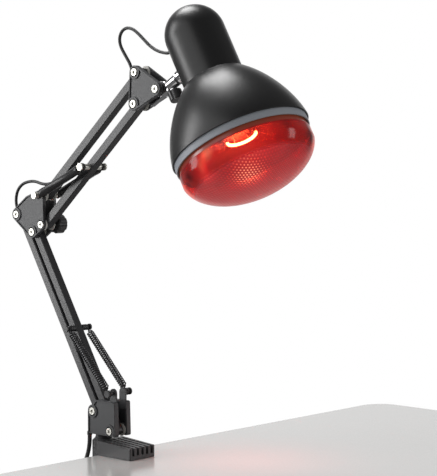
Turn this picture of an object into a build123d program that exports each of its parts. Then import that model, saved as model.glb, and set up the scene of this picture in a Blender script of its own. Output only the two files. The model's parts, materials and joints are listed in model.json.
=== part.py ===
from build123d import *
import math
import os

# Infrared heat lamp on a sprung swing arm with a table clamp. Millimetres.
# The arm swings in the XZ plane and its pins lie along Y. The origin is on the underside of the
# clamp's upper jaw, which rests on the table top, straight below the axis of the arm's post.

# Arm
TUBE = 8.4                 # square tube, outside
TUBE_WALL = 1.0
TUBE_EDGE = 0.7            # chamfer of its long edges
TUBE_PLUG = 8.0            # solid end of a tube, past its pivot
LOWER_LENGTH = 214.0       # pivot to pivot
LOWER_ANGLE = 121.4        # from +X
UPPER_LENGTH = 173.4
UPPER_ANGLE = 41.1
PIVOT_GAP = 28.6           # between the two pivots of one bracket
BASE_LINK_ANGLE = -35.6    # from the base's first pivot to its second
HEAD_LINK_ANGLE = 87.2     # from the lower pivot of the upper arm to the other one
ELBOW_REACH = 37.8         # from the elbow's first pivot to the lower pivot of the upper arm
ELBOW_REACH_ANGLE = -13.9
TILT_REACH = 31.1          # from the head bracket's top pivot to the tilt pivot
TILT_REACH_ANGLE = -30.4
BASE_PIVOT_X = -4.2
BASE_PIVOT_Z = 39.0

# Fits
GAP = 0.3                  # between pieces that move past each other
RUNNING = 0.05             # radial, pin in hole
SEAT = 0.02                # between pieces that rest on each other

# Bracket plates
WASHER = 0.7
PLATE_IN = TUBE / 2 + GAP + WASHER     # half the space between two plates
PLATE_OUT = 8.6                        # elbow plates, outer face
HEAD_OUT = 9.8                         # near head plate, outer face
HEAD_OUT_BACK = 7.7                    # far head plate, outer face
BASE_OUT = 10.5                        # base plates, outer face
PLATE_EDGE = 6.2                       # from a pivot to the edge of its plate
PLATE_RIM = 1.3
PLATE_CHAMFER = 0.4
PLATE_SUNK = 1.1
HEAD_SUNK_RADIUS = 4.6
HEAD_SUNK = 1.5
ELBOW_BULGE = 3.0
ELBOW_TRIM_LOW = 2.2                   # how far the plate is cut back beside the upper arm
ELBOW_TRIM_HIGH = 3.9
ELBOW_TRIM_TOP = 1.6

# Pivot bolts
BOLT_RADIUS = 2.0
BUSH_RADIUS = 2.6
WASHER_RADIUS = 6.0
TENSION_WASHER_RADIUS = 5.6
SCREW_HEAD_RADIUS = 3.5
SCREW_HEAD = 2.0
HEX_KEY = 1.7
NUT_RADIUS = 3.9
NUT = 2.6
THREAD_END = 0.6

# Base bracket
BASE_LEFT = -10.6
BASE_RIGHT = 27.0
BASE_LEAN = 1.0            # the right edge is this much further in at the top
BASE_BOTTOM = 17.5
BASE_TOP = 50.0
BASE_CUT = 11.4
BASE_CORNER = 1.8
POCKET = 4.0
POCKET_WALL = 2.0
POST_RADIUS = 6.0
POST_DEPTH = 26.0
TANG_WIDTH = 14.0
TANG_TOP = 29.0
PEG_RADIUS = 3.0
PEG = 2.2
EAR_X = 20.6
EAR_Z = 58.0
EAR_RADIUS = 4.2
EAR = 1.6
STUD_RADIUS = 2.0
STUD_HEAD_RADIUS = 3.4

# Springs and their pins
LOWER_SPRING_OFFSET = 11.3
LOWER_SPRING_RADIUS = 3.7
LOWER_PIN_ALONG = 107.1    # from the lower pivot, and off the bar's axis
LOWER_PIN_OFF = 1.5
LOWER_PIN_RADIUS = 1.5
LOWER_PIN_HALF = 14.2
STUD_END = 13.4
WIRE_RADIUS = 0.6
SPRING_NECK = 5.0
UPPER_SPRING_OFFSET = 12.2
UPPER_PIN_ALONG = 85.6
UPPER_PIN_HALF = 14.7
UPPER_PIN_HEAD_RADIUS = 3.6
ELBOW_PIN_HALF = 17.2
ELBOW_PIN_HEAD_RADIUS = 3.3
SLEEVE_RADIUS = 4.3
SLEEVE_WALL = 0.9
SLEEVE_EYE = 5.0
PIN_HEAD = 1.5
COLLAR_RADIUS = 2.9

# Clamp
SPINE_RADIUS = 10.5
SPINE_TOP = 13.2
SPINE_CHAMFER = 2.2
BUSH_WALL = 1.2
JAW_START = 8.5            # throat face, which meets the edge of the table
JAW_TIP = 53.0
JAW_HALF_WIDTH = 16.5
JAW_TIP_HALF_WIDTH = 16.0
JAW_CORNER = 0.8
JAW_HEIGHT = 13.5
JAW_TIP_HEIGHT = 10.7
JAW_FLOOR = 3.5
JAW_ROUND = 0.8
GROOVE_WIDTH = 2.9
GROOVE_PITCH = 5.9
GROOVE_COUNT = 5
GROOVE_START = 13.0
NOTCH = 1.2
NOTCH_HEIGHTS = (4.2, 8.6)
THROAT = 52.0
LOWER_JAW = 12.0
FRAME_HALF_WIDTH = 8.5
FRAME_WEB = 2.5
FRAME_RIM = 4.0
SCREW_X = 34.0
SCREW_RADIUS = 5.0
SCREW_CORE_RADIUS = 4.4
SCREW_PITCH = 2.0
SCREW_BOSS_RADIUS = 10.0
TABLE = 25.0               # opening that the clamp is set to
PAD_RADIUS = 13.0
PAD = 5.0
PAD_SOCKET = 2.6
SCREW_LENGTH = 76.0
CLAMP_KNOB_RADIUS = 15.0
CLAMP_KNOB = 17.0

# Friction knobs
KNOB_RADIUS = 9.3
KNOB = 10.0
HEAD_KNOB_RADIUS = 6.6
HEAD_KNOB = 9.5
HEAD_KNOB_ALONG = 11.6
HEAD_KNOB_START = 6.6
KNOB_SCREW_RADIUS = 1.6

# Neck of the head
NECK_REACH = 58.5          # from the tilt pivot to the head's axis
NECK_HEIGHT = 87.9         # of the stem above the shade's rim
NECK_DROP = 2.4            # of the stem's axis below the tilt pivot
HEAD_TILT = 29.6
HUB_RADIUS = 7.0
BARREL_RADIUS = 5.5
BARREL_START = 8.6
BARREL_END = 22.0
BORE_START = 9.6
STEM_RADIUS = 4.0
STEM_THREAD_RADIUS = 3.0
STEM_COLLAR_RADIUS = 6.5
TAIL_LENGTH = 19.0
TAIL_TOP = -3.2
TAIL = 4.0
TAIL_WIDTH = 5.5

# Bulb and holder; heights are above the shade's rim
LENS_RADIUS = 60.5
LENS_EDGE = -19.5
LENS_BOTTOM = -48.0
LENS_SHOULDER = (LENS_RADIUS - 4.5, -36.0)
LENS_FLAT = (LENS_RADIUS - 30.5, LENS_BOTTOM)
GLASS = 2.4
BAND_TOP = -11.0
BAND_STEP = 0.5            # from the lens in to the back of the glass
REFLECTOR_RADIUS = LENS_RADIUS - BAND_STEP
REFLECTOR_PULL_LOW = (REFLECTOR_RADIUS - 5.0, 20.0)
REFLECTOR_PULL_HIGH = (REFLECTOR_RADIUS - 26.0, 50.0)
NECK_GLASS_RADIUS = 17.0
NECK_GLASS_TOP = 62.0
SKIRT_WALL = 1.2
SKIRT_BOTTOM = 58.0
SKIRT_TOP = 64.5
CAP_RADIUS = 13.2
CAP_WALL = 0.8
CAP_TOP = 88.0
CAP_TIP_RADIUS = 4.5
CAP_TIP = 2.0
HOLDER_RADIUS = 18.0
HOLDER_BOTTOM = 66.5
HOLDER_TOP = 108.0
HOLDER_FLOOR = 96.0
LEAD_IN_HOLDER = 7.0
CONTACT_WALL = 0.5
BAND_SHEET = 1.3
BAND_HALF_HEIGHT = 5.5
PAD_START = -25.2
FILAMENT_Z = 6.0
FILAMENT_RADIUS = 14.0
FILAMENT_WIRE = 0.9
FILAMENT_ARC = 240.0
LEG_RADIUS = 5.0

# Ring, shade and cover; heights are above the shade's rim
RING_WALL = 1.0
RING_ROOM = 0.9            # from the bulb out to the ring's outside
RING_DROP = 6.3
RING_RISE = 3.5
RING_RADIUS = LENS_RADIUS + RING_ROOM
SHADE_WALL = 1.0
RIM_ROOM = 0.6             # between the ring and the shade at the rim
RIM_RADIUS = RING_RADIUS + RIM_ROOM + SHADE_WALL
RIM_PULL = (RIM_RADIUS - 1.8, 17.6)
SHOULDER_PULL = (RIM_RADIUS - 13.7, 45.5)
SHADE_NECK_RADIUS = 28.8
SHOULDER = 64.0
NECK_LAP = 7.0
COVER_RADIUS = 27.3
COVER_WALL = 1.0
COVER_SPRING_LINE = 110.0

# Leads inside and outside the arm
LEAD_RADIUS = 1.5
LEAD_ROOM = 0.35
LEAD_SIDE = 4.9            # from a pivot to the lead that passes it
LEAD_PLUG = 27.0           # from a pivot to the end of the lead that passes it
LEAD_GROMMET_Z = 113.3
LEAD_GROMMET = 1.6
LEAD_GROMMET_RADIUS = 3.2
LEAD_GROMMET_LIP = 0.7
GROMMET_RADIUS = 2.4
GROMMET_DROP = 2.1
GROMMET_TOP = 19.0
CORD_EXIT_X = -9.9
CORD_EXIT_Y = -8.4

# Mains cord, switch and plug
CORD_RADIUS = 2.0
COIL_RADIUS = 24.0
COIL_THICKNESS = 8.0
COIL_X = -26.0
COIL_Z = -68.0
COIL_END_SIDE = 4.0        # the two ends of the coil's cord, off its middle circle
COIL_END_OUT = 3.46
TIE_WIDTH = 5.0
TIE_SHEET = 0.8
SWITCH_Y = 25.0
SWITCH_TOP = -112.5
SWITCH_LENGTH = 56.0
SWITCH_WIDTH = 25.0
SWITCH_DEPTH = 19.0
SWITCH_WALL = 1.8
SWITCH_EDGE = 3.0
ROCKER_LENGTH = 15.0
ROCKER_WIDTH = 9.0
ROCKER_THICKNESS = 7.0
ROCKER_PROUD = 1.6
ROCKER_ROOM = 1.1
ROCKER_TILT = 6.0
ROCKER_PIN_RADIUS = 1.2
PLUG_LEAD = 18.0
PLUG_GRIP = 17.0
PLUG_FACE = 19.0
PLUG_WIDTH = 35.0
PLUG_DEPTH = 13.7
PLUG_PIN_RADIUS = 2.0
PLUG_PIN = 19.0
PLUG_PIN_SET = 8.0
PLUG_PIN_TIP = 0.9
PLUG_ROOT_RADIUS = 1.6
PLUG_PIN_SPACING = 18.6


# The arm's plane: a point is (x, z), and angles are from +X toward +Z

def step(start, length, degrees):
    a = math.radians(degrees)
    return (start[0] + length * math.cos(a), start[1] + length * math.sin(a))


def beside(pivot, degrees, along, off):
    """A point that far along a bar from its pivot, and that far off the bar's axis, in 3-D."""
    x, z = step(step(pivot, along, degrees), off, degrees + 90)
    return (x, 0.0, z)


BASE_A = (BASE_PIVOT_X, BASE_PIVOT_Z)
BASE_B = step(BASE_A, PIVOT_GAP, BASE_LINK_ANGLE)
ELBOW_A = step(BASE_A, LOWER_LENGTH, LOWER_ANGLE)
ELBOW_B = step(ELBOW_A, PIVOT_GAP, BASE_LINK_ANGLE)
ELBOW_C = step(ELBOW_A, ELBOW_REACH, ELBOW_REACH_ANGLE)
ELBOW_D = step(ELBOW_C, PIVOT_GAP, HEAD_LINK_ANGLE)
HEAD_B = step(ELBOW_C, UPPER_LENGTH, UPPER_ANGLE)
HEAD_A = step(HEAD_B, PIVOT_GAP, HEAD_LINK_ANGLE)
TILT = step(HEAD_A, TILT_REACH, TILT_REACH_ANGLE)
RIM_CENTRE = step(step(TILT, NECK_REACH, HEAD_TILT), NECK_HEIGHT + NECK_DROP, HEAD_TILT - 90)
NECK_FRAME = Location((TILT[0], 0, TILT[1]), (0, -HEAD_TILT, 0))
STEM_FRAME = NECK_FRAME * Pos(0, 0, -NECK_DROP)
HEAD_FRAME = Location((RIM_CENTRE[0], 0, RIM_CENTRE[1]), (0, -HEAD_TILT, 0))

LOWER_PIN = step(step(BASE_B, LOWER_PIN_ALONG, LOWER_ANGLE), LOWER_PIN_OFF, LOWER_ANGLE - 90)
STUD = (EAR_X, EAR_Z)
UPPER_PIN = step(ELBOW_C, UPPER_PIN_ALONG, UPPER_ANGLE)
EYE_HALF = (SLEEVE_RADIUS - SLEEVE_WALL) / 2
PEG_POINT = (0.0, (BASE_BOTTOM + TANG_TOP) / 2)
LEAD_HOLE = step(step(RIM_CENTRE, -COVER_RADIUS - LEAD_GROMMET, HEAD_TILT), LEAD_GROMMET_Z, HEAD_TILT + 90)
COLLAR_TOP = BASE_BOTTOM - GAP
CORD_TOP = BASE_BOTTOM - GROMMET_DROP

BASE_LEAD_ROUTE = [
    (CORD_EXIT_X, CORD_EXIT_Y, CORD_TOP + GAP),
    (CORD_EXIT_X, CORD_EXIT_Y, 21.0),
    (-8.9, -5.4, 26.5),
    (-8.4, -1.4, 31.2),
    beside(BASE_A, LOWER_ANGLE, 0, LEAD_SIDE),
    beside(BASE_A, LOWER_ANGLE, 6.5, 4.2),
    beside(BASE_A, LOWER_ANGLE, 13, 1.6),
    beside(BASE_A, LOWER_ANGLE, 20, 0),
    beside(BASE_A, LOWER_ANGLE, LEAD_PLUG, 0),
]
ELBOW_LEAD_ROUTE = [
    beside(ELBOW_A, LOWER_ANGLE, -LEAD_PLUG, 0),
    beside(ELBOW_A, LOWER_ANGLE, -19, 0),
    beside(ELBOW_A, LOWER_ANGLE, -12, 1.9),
    beside(ELBOW_A, LOWER_ANGLE, -5, 4.6),
    beside(ELBOW_A, LOWER_ANGLE, 2, 5.2),
    beside(ELBOW_A, LOWER_ANGLE, 9.5, 4.6),
    (-126.4, 0, 235.2),
    (-123.9, 0, 244.7),
    (-116.6, 0, 251.2),
    (-107.0, 0, 253.9),
    (-96.5, 0, 254.4),
    (-86.0, 0, 251.6),
    beside(ELBOW_D, UPPER_ANGLE, 7.5, 7.4),
    beside(ELBOW_D, UPPER_ANGLE, 15.5, 3.4),
    beside(ELBOW_D, UPPER_ANGLE, 24, 0.4),
    beside(ELBOW_D, UPPER_ANGLE, 33, 0),
]
HEAD_LEAD_ROUTE = [
    beside(HEAD_A, UPPER_ANGLE, -LEAD_PLUG, 0),
    beside(HEAD_A, UPPER_ANGLE, -19, 0.2),
    beside(HEAD_A, UPPER_ANGLE, -13, 3.0),
    beside(HEAD_A, UPPER_ANGLE, -9, 7.8),
    (38.4, 0, 363.0),
    (31.6, 0, 371.6),
    (24.9, 0, 380.6),
    (23.7, 0, 388.2),
    (27.1, 0, 394.3),
    (33.8, 0, 397.0),
    (41.5, 0, 395.4),
    (48.4, 0, 391.0),
    (54.5, 0, 386.2),
    (63.5, 0, 378.9),
    (73.0, 0, 374.0),
    (81.6, 0, 371.8),
    (step(LEAD_HOLE, -6, HEAD_TILT)[0], 0, step(LEAD_HOLE, -6, HEAD_TILT)[1]),
    (step(LEAD_HOLE, -GAP, HEAD_TILT)[0], 0, step(LEAD_HOLE, -GAP, HEAD_TILT)[1]),
]
CORD_ROUTE = [
    (CORD_EXIT_X, CORD_EXIT_Y, CORD_TOP),
    (CORD_EXIT_X, CORD_EXIT_Y, 9.0),
    (-10.8, -9.2, 0.0),
    (-12.6, -11.4, -9.5),
    (-15.6, -15.2, -19.0),
    (-19.4, -19.4, -28.5),
    (-23.4, -23.0, -38.2),
    (-26.9, -25.8, -48.2),
    (-29.2, -27.2, -58.2),
    (COIL_X - COIL_END_SIDE, -COIL_RADIUS - COIL_END_OUT, COIL_Z),
]
TAIL_ROUTE = [
    (COIL_X + COIL_END_SIDE, 0, COIL_Z - COIL_RADIUS - COIL_END_OUT),
    (-22.5, 8.3, -94.8),
    (-24.1, 15.8, -95.9),
    (-25.4, 21.8, -100.5),
    (COIL_X, SWITCH_Y, -107.0),
    (COIL_X, SWITCH_Y, SWITCH_TOP - SWITCH_WALL),
]


# Shapes; a sketch in the arm's plane has X as its x and Z as its y

def slab(sketch, low_y, high_y):
    return Pos(0, high_y, 0) * extrude(Plane.XZ * sketch, high_y - low_y)


def disc(point, radius):
    return Pos(*point) * Circle(radius)


def rod(point, radius, low_y, high_y):
    return slab(disc(point, radius), low_y, high_y)


def link(start, end, radius):
    middle = ((start[0] + end[0]) / 2, (start[1] + end[1]) / 2)
    angle = math.degrees(math.atan2(end[1] - start[1], end[0] - start[0]))
    return Pos(*middle) * Rot(0, 0, angle) * SlotCenterToCenter(math.dist(start, end), 2 * radius)


def mirrored(solid):
    return mirror(solid, about=Plane.XZ)


def upright(radius, low_z, high_z, x=0.0, y=0.0):
    return Pos(x, y, low_z) * Cylinder(radius, high_z - low_z, align=(Align.CENTER, Align.CENTER, Align.MIN))


def straight(start, end, radius):
    way = Vector(*end) - Vector(*start)
    bar = Cylinder(radius, way.length, align=(Align.CENTER, Align.CENTER, Align.MIN))
    return Plane(start, z_dir=way) * bar


def bend_radii(points):
    v = [Vector(*p) for p in points]
    radii = []
    for a, b, c in zip(v, v[1:], v[2:]):
        turn = math.radians((b - a).get_angle(c - b))
        radii.append(0.45 * min((b - a).length, (c - b).length) / math.tan(turn / 2))
    return radii


def routed(points, radius):
    path = FilletPolyline(*points, radius=bend_radii(points))
    return sweep(Plane(path @ 0, z_dir=path % 0) * Circle(radius), path=path)


def revolved(*edges):
    return revolve(Plane.XZ * make_face(Curve() + list(edges)), axis=Axis.Z)


def turned(*points):
    return revolve(Plane.XZ * Polygon(*points, align=None), axis=Axis.Z)


def lobed_knob(radius, height, lobes, bore):
    body = chamfer(upright(radius, 0, height).edges(), radius * 0.12)
    for i in range(lobes):
        body -= Rot(0, 0, 360 * i / lobes) * upright(radius * 0.26, -1, height + 1, radius * 1.1)
    return body - upright(bore, -1, height + 1)


# Bolts and bushes

def socket_head(point, seat_y):
    head = rod(point, SCREW_HEAD_RADIUS, seat_y - SCREW_HEAD, seat_y)
    return head - slab(Pos(*point) * RegularPolygon(HEX_KEY, 6), seat_y - SCREW_HEAD, seat_y - SCREW_HEAD * 0.4)


def bolt_and_nut(point, front, back):
    seat = front - HEAD_SUNK
    far = back - HEAD_SUNK
    bolt = socket_head(point, -seat) + rod(point, BOLT_RADIUS, -seat, far + NUT + THREAD_END)
    hexagon = Pos(*point) * (RegularPolygon(NUT_RADIUS, 6) - Circle(BOLT_RADIUS + SEAT))
    return [bolt, slab(hexagon, far + SEAT, far + NUT)]


def bush_and_washers(point, bolt_radius, washer_radius=WASHER_RADIUS):
    half = PLATE_IN - SEAT
    bush = rod(point, BUSH_RADIUS, -half, half) - rod(point, bolt_radius + SEAT, -half, half)
    washer = slab(disc(point, washer_radius) - disc(point, BUSH_RADIUS + SEAT), PLATE_IN - WASHER, half)
    return [bush, washer, mirrored(washer)]


# Bracket plates

def tray_plate(outline, bosses, heads, out):
    """The near plate of a bracket: a thin rim round a sunk face, raised bosses, sunk bolt heads."""
    plate = slab(outline, -out, -PLATE_IN)
    plate = chamfer(plate.edges().group_by(Axis.Y)[0], PLATE_CHAMFER)
    sunk = offset(outline, -PLATE_RIM)
    for point in bosses:
        sunk -= disc(point, PLATE_EDGE)
    plate -= slab(sunk, -out, PLATE_SUNK - out)
    for point in heads:
        plate -= rod(point, BOLT_RADIUS + SEAT, -out, 0)
        plate -= rod(point, HEAD_SUNK_RADIUS, -out, HEAD_SUNK - out)
    return plate


def base_outline():
    body = Polygon((BASE_LEFT, BASE_BOTTOM), (BASE_RIGHT, BASE_BOTTOM), (BASE_RIGHT - BASE_LEAN, BASE_TOP),
                   (BASE_LEFT + BASE_CUT, BASE_TOP), (BASE_LEFT, BASE_TOP - BASE_CUT), align=None)
    return fillet(body.vertices(), BASE_CORNER) + disc(BASE_A, PLATE_EDGE)


def base_side():
    side = tray_plate(base_outline(), [BASE_A, BASE_B], [BASE_A, BASE_B], BASE_OUT)
    pocket = offset(base_outline(), -POCKET_WALL) - disc(BASE_A, PLATE_EDGE) - disc(BASE_B, PLATE_EDGE)
    pocket -= disc(PEG_POINT, PEG_RADIUS + POCKET_WALL)
    side -= slab(pocket, -PLATE_IN - POCKET, -PLATE_IN)
    side += slab(link((EAR_X, BASE_TOP - EAR_RADIUS), STUD, EAR_RADIUS), -PLATE_IN - EAR, -PLATE_IN)
    side += rod(PEG_POINT, PEG_RADIUS, -PLATE_IN, PEG - PLATE_IN)
    return side - rod(STUD, STUD_RADIUS + SEAT, -BASE_OUT, 0)


def base_front_plate():
    channel = routed(BASE_LEAD_ROUTE[:5], LEAD_RADIUS + LEAD_ROOM)
    return base_side() - channel - upright(GROMMET_RADIUS + SEAT, 0, GROMMET_TOP, CORD_EXIT_X, CORD_EXIT_Y)


def base_back_plate():
    return mirrored(base_side())


def base_post():
    shaft = chamfer(upright(POST_RADIUS, -POST_DEPTH, BASE_BOTTOM).edges().sort_by(Axis.Z)[0], 1)
    tang = Pos(0, 0, BASE_BOTTOM) * Box(TANG_WIDTH, 2 * (PLATE_IN - SEAT), TANG_TOP - BASE_BOTTOM,
                                       align=(Align.CENTER, Align.CENTER, Align.MIN))
    return shaft + tang - rod(PEG_POINT, PEG_RADIUS + SEAT, -PLATE_IN, PLATE_IN)


def base_bolts():
    return bolt_and_nut(BASE_A, BASE_OUT, BASE_OUT) + bolt_and_nut(BASE_B, BASE_OUT, BASE_OUT)


def base_bushes():
    return bush_and_washers(BASE_A, BOLT_RADIUS) + bush_and_washers(BASE_B, BOLT_RADIUS)


def spring_studs():
    end = STUD_END
    stud = rod(STUD, STUD_RADIUS, -end, -PLATE_IN) + rod(STUD, STUD_HEAD_RADIUS, -end - PIN_HEAD, -end)
    return [stud, mirrored(stud)]


def cord_grommet():
    sleeve = upright(GROMMET_RADIUS, CORD_TOP + GAP, GROMMET_TOP - SEAT, CORD_EXIT_X, CORD_EXIT_Y)
    return sleeve - upright(LEAD_RADIUS + SEAT, 0, GROMMET_TOP, CORD_EXIT_X, CORD_EXIT_Y)


def base_lead():
    return routed(BASE_LEAD_ROUTE, LEAD_RADIUS)


# Clamp

def upper_jaw():
    side = Polygon((0, 0), (JAW_TIP, 0), (JAW_TIP, JAW_TIP_HEIGHT), (JAW_START, JAW_HEIGHT),
                   (0, SPINE_TOP - SPINE_CHAMFER), align=None)
    plan = Polygon((0, -SPINE_RADIUS), (JAW_START, -JAW_HALF_WIDTH), (JAW_TIP, -JAW_TIP_HALF_WIDTH),
                   (JAW_TIP, JAW_TIP_HALF_WIDTH), (JAW_START, JAW_HALF_WIDTH), (0, SPINE_RADIUS), align=None)
    plan = chamfer(plan.vertices().group_by(Axis.X)[-1], JAW_CORNER)
    jaw = slab(side, -JAW_HALF_WIDTH, JAW_HALF_WIDTH) & extrude(plan, JAW_HEIGHT)
    jaw = fillet(jaw.faces().filter_by(Plane.YZ).sort_by(Axis.X)[-1].edges().sort_by(Axis.Z)[-1], JAW_ROUND)
    groove = Box(JAW_TIP, GROOVE_WIDTH, JAW_HEIGHT, align=(Align.MIN, Align.CENTER, Align.MIN))
    for i in range(GROOVE_COUNT):
        y = (i - (GROOVE_COUNT - 1) / 2) * GROOVE_PITCH
        jaw -= Pos(GROOVE_START, y, JAW_FLOOR) * groove
    return jaw


def clamp_frame():
    outline = Polygon((-SPINE_RADIUS, 0), (JAW_START, 0), (JAW_START, -THROAT),
                      (SCREW_X + SCREW_BOSS_RADIUS, -THROAT), (SCREW_X + SCREW_BOSS_RADIUS, -THROAT - LOWER_JAW),
                      (-SPINE_RADIUS, -THROAT - LOWER_JAW), align=None)
    frame = slab(outline, -FRAME_HALF_WIDTH, FRAME_HALF_WIDTH)
    frame = fillet(frame.edges().filter_by(Axis.Y).group_by(Axis.X)[0].sort_by(Axis.Z)[0], 8)
    socket_depth = POST_DEPTH + FRAME_RIM
    pocket = offset(outline, -FRAME_RIM) - Rectangle(4 * SPINE_RADIUS, 2 * socket_depth + FRAME_RIM)
    pocket -= Pos(SCREW_X, -THROAT) * Rectangle(2 * SCREW_BOSS_RADIUS, 4 * LOWER_JAW)
    side_pocket = slab(pocket, -FRAME_HALF_WIDTH, -FRAME_WEB)
    frame -= side_pocket
    frame -= mirrored(side_pocket)
    frame += upright(SCREW_BOSS_RADIUS, -THROAT - LOWER_JAW, -THROAT, SCREW_X)
    spine = chamfer(upright(SPINE_RADIUS, -socket_depth, SPINE_TOP).edges().sort_by(Axis.Z)[-1], SPINE_CHAMFER)
    frame += spine - Pos(JAW_START, 0, 0) * Box(10, 40, 100, align=(Align.MIN, Align.CENTER, Align.MAX))
    frame += upper_jaw()
    for height in NOTCH_HEIGHTS:
        frame -= Pos(0, -SPINE_RADIUS, height) * Box(9, 3, NOTCH)
    frame -= upright(POST_RADIUS + RUNNING + BUSH_WALL, -POST_DEPTH - GAP, SPINE_TOP)
    frame -= upright(POST_RADIUS + RUNNING + 2 * BUSH_WALL, SPINE_TOP, JAW_HEIGHT)
    return frame - upright(SCREW_RADIUS + RUNNING, -100, -THROAT, SCREW_X)


def post_bush():
    outer = POST_RADIUS + RUNNING + BUSH_WALL - SEAT
    tube = upright(outer, SEAT - POST_DEPTH - GAP, COLLAR_TOP)
    lip = upright(outer + BUSH_WALL / 2, SPINE_TOP + SEAT, SPINE_TOP + BUSH_WALL)
    return tube + lip - upright(POST_RADIUS + RUNNING, -POST_DEPTH - 1, COLLAR_TOP)


def clamp_pad():
    pad = chamfer(upright(PAD_RADIUS, -TABLE - PAD, -TABLE, SCREW_X).edges(), 0.8)
    return pad - upright(SCREW_CORE_RADIUS + RUNNING, -TABLE - PAD, PAD_SOCKET + GAP - TABLE - PAD, SCREW_X)


def clamp_screw():
    low = -TABLE - PAD - SCREW_LENGTH
    screw = upright(SCREW_CORE_RADIUS, low, PAD_SOCKET - TABLE - PAD, SCREW_X)
    return screw + upright(SCREW_RADIUS, low + CLAMP_KNOB, -TABLE - PAD - GAP, SCREW_X)


def clamp_knob():
    knob = lobed_knob(CLAMP_KNOB_RADIUS, CLAMP_KNOB, 6, SCREW_CORE_RADIUS + SEAT)
    return Pos(SCREW_X, 0, -TABLE - PAD - SCREW_LENGTH - SEAT) * knob


# Mains cord

def mains_cord():
    low = SWITCH_TOP - SWITCH_LENGTH
    plug_lead = upright(CORD_RADIUS, low - PLUG_LEAD, low + SWITCH_WALL, COIL_X, SWITCH_Y)
    return [routed(CORD_ROUTE, CORD_RADIUS), routed(TAIL_ROUTE, CORD_RADIUS), plug_lead]


def cord_coil():
    return Pos(COIL_X, 0, COIL_Z) * Rot(0, 90, 0) * Torus(COIL_RADIUS, COIL_THICKNESS)


def coil_tie():
    ring = Cylinder(COIL_THICKNESS + TIE_SHEET, TIE_WIDTH) - Cylinder(COIL_THICKNESS + SEAT, TIE_WIDTH)
    turn = Rot(0, 90, 0) * ring
    whole = Pos(COIL_X, 0, COIL_Z + COIL_RADIUS) * Rot(0, 0, 90) * turn
    return whole - cord_coil()


def switch_shell():
    outer = fillet(Box(SWITCH_DEPTH, SWITCH_WIDTH, SWITCH_LENGTH).edges(), SWITCH_EDGE)
    room = Box(SWITCH_DEPTH - 2 * SWITCH_WALL, SWITCH_WIDTH - 2 * SWITCH_WALL, SWITCH_LENGTH - 2 * SWITCH_WALL)
    shell = outer - fillet(room.edges(), SWITCH_EDGE / 2)
    shell -= upright(CORD_RADIUS + SEAT, -SWITCH_LENGTH, SWITCH_LENGTH)
    window = Box(3 * SWITCH_WALL, ROCKER_WIDTH + 2 * GAP, ROCKER_LENGTH + 2 * ROCKER_ROOM)
    return shell - Pos(-SWITCH_DEPTH / 2, 0, 0) * window


def switch_half(side):
    keep = Pos(side * SEAT / 2, 0, 0) * Box(
        SWITCH_DEPTH, 2 * SWITCH_WIDTH, 2 * SWITCH_LENGTH,
        align=(Align.MIN if side > 0 else Align.MAX, Align.CENTER, Align.CENTER))
    return switch_shell() & keep


SWITCH_FRAME = Pos(COIL_X, SWITCH_Y, SWITCH_TOP - SWITCH_LENGTH / 2)
ROCKER_PIVOT = (ROCKER_THICKNESS - SWITCH_DEPTH / 2 - ROCKER_PROUD - 1.5 * ROCKER_PIN_RADIUS, 0.0)


def switch_shell_front():
    size = 4.5 * ROCKER_PIN_RADIUS
    lug = slab(Pos(*ROCKER_PIVOT) * Rectangle(size, size), -SWITCH_WIDTH / 2 + SWITCH_WALL / 2, -ROCKER_WIDTH / 2 - GAP)
    hole = rod(ROCKER_PIVOT, ROCKER_PIN_RADIUS + RUNNING, -SWITCH_WIDTH / 2, SWITCH_WIDTH / 2)
    return SWITCH_FRAME * (switch_half(-1) + lug + mirrored(lug) - hole)


def switch_shell_back():
    return SWITCH_FRAME * switch_half(1)


def switch_rocker():
    face = -SWITCH_DEPTH / 2 - ROCKER_PROUD
    half = ROCKER_LENGTH / 2
    side = Polygon((face + ROCKER_THICKNESS, -half), (face + ROCKER_THICKNESS, half), (face, half),
                   (face + ROCKER_PROUD * 0.75, 0), (face, -half), align=None)
    rocker = slab(fillet(side.vertices(), 0.5), -ROCKER_WIDTH / 2, ROCKER_WIDTH / 2)
    end = ROCKER_WIDTH / 2 + 3
    rocker += rod(ROCKER_PIVOT, ROCKER_PIN_RADIUS, -end, end)
    x = ROCKER_PIVOT[0]
    return SWITCH_FRAME * Pos(x, 0, 0) * Rot(0, ROCKER_TILT, 0) * Pos(-x, 0, 0) * rocker


def plug_top():
    return SWITCH_TOP - SWITCH_LENGTH - PLUG_LEAD


def plug_body():
    top = plug_top()
    grip = loft([Pos(COIL_X, SWITCH_Y, top) * RectangleRounded(11, 13, 4),
                 Pos(COIL_X, SWITCH_Y, top - PLUG_GRIP) * RectangleRounded(PLUG_DEPTH, PLUG_WIDTH - 6, 5)])
    block = extrude(Pos(COIL_X, SWITCH_Y, top - PLUG_GRIP - PLUG_FACE)
                    * RectangleRounded(PLUG_DEPTH, PLUG_WIDTH, 5), PLUG_FACE)
    body = grip + block
    for y in (SWITCH_Y - PLUG_PIN_SPACING / 2, SWITCH_Y + PLUG_PIN_SPACING / 2):
        low = top - PLUG_GRIP - PLUG_FACE
        body -= upright(PLUG_ROOT_RADIUS + SEAT, low, low + PLUG_PIN_SET + SEAT, COIL_X, y)
    return body


def plug_pins():
    low = plug_top() - PLUG_GRIP - PLUG_FACE
    pin = chamfer(upright(PLUG_PIN_RADIUS, low - PLUG_PIN, low - SEAT).edges().sort_by(Axis.Z)[0], PLUG_PIN_TIP)
    pin += upright(PLUG_ROOT_RADIUS, low - PLUG_PIN / 2, low + PLUG_PIN_SET)
    return [Pos(COIL_X, SWITCH_Y + side * PLUG_PIN_SPACING / 2, 0) * pin for side in (-1, 1)]


# Arm tubes

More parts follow.
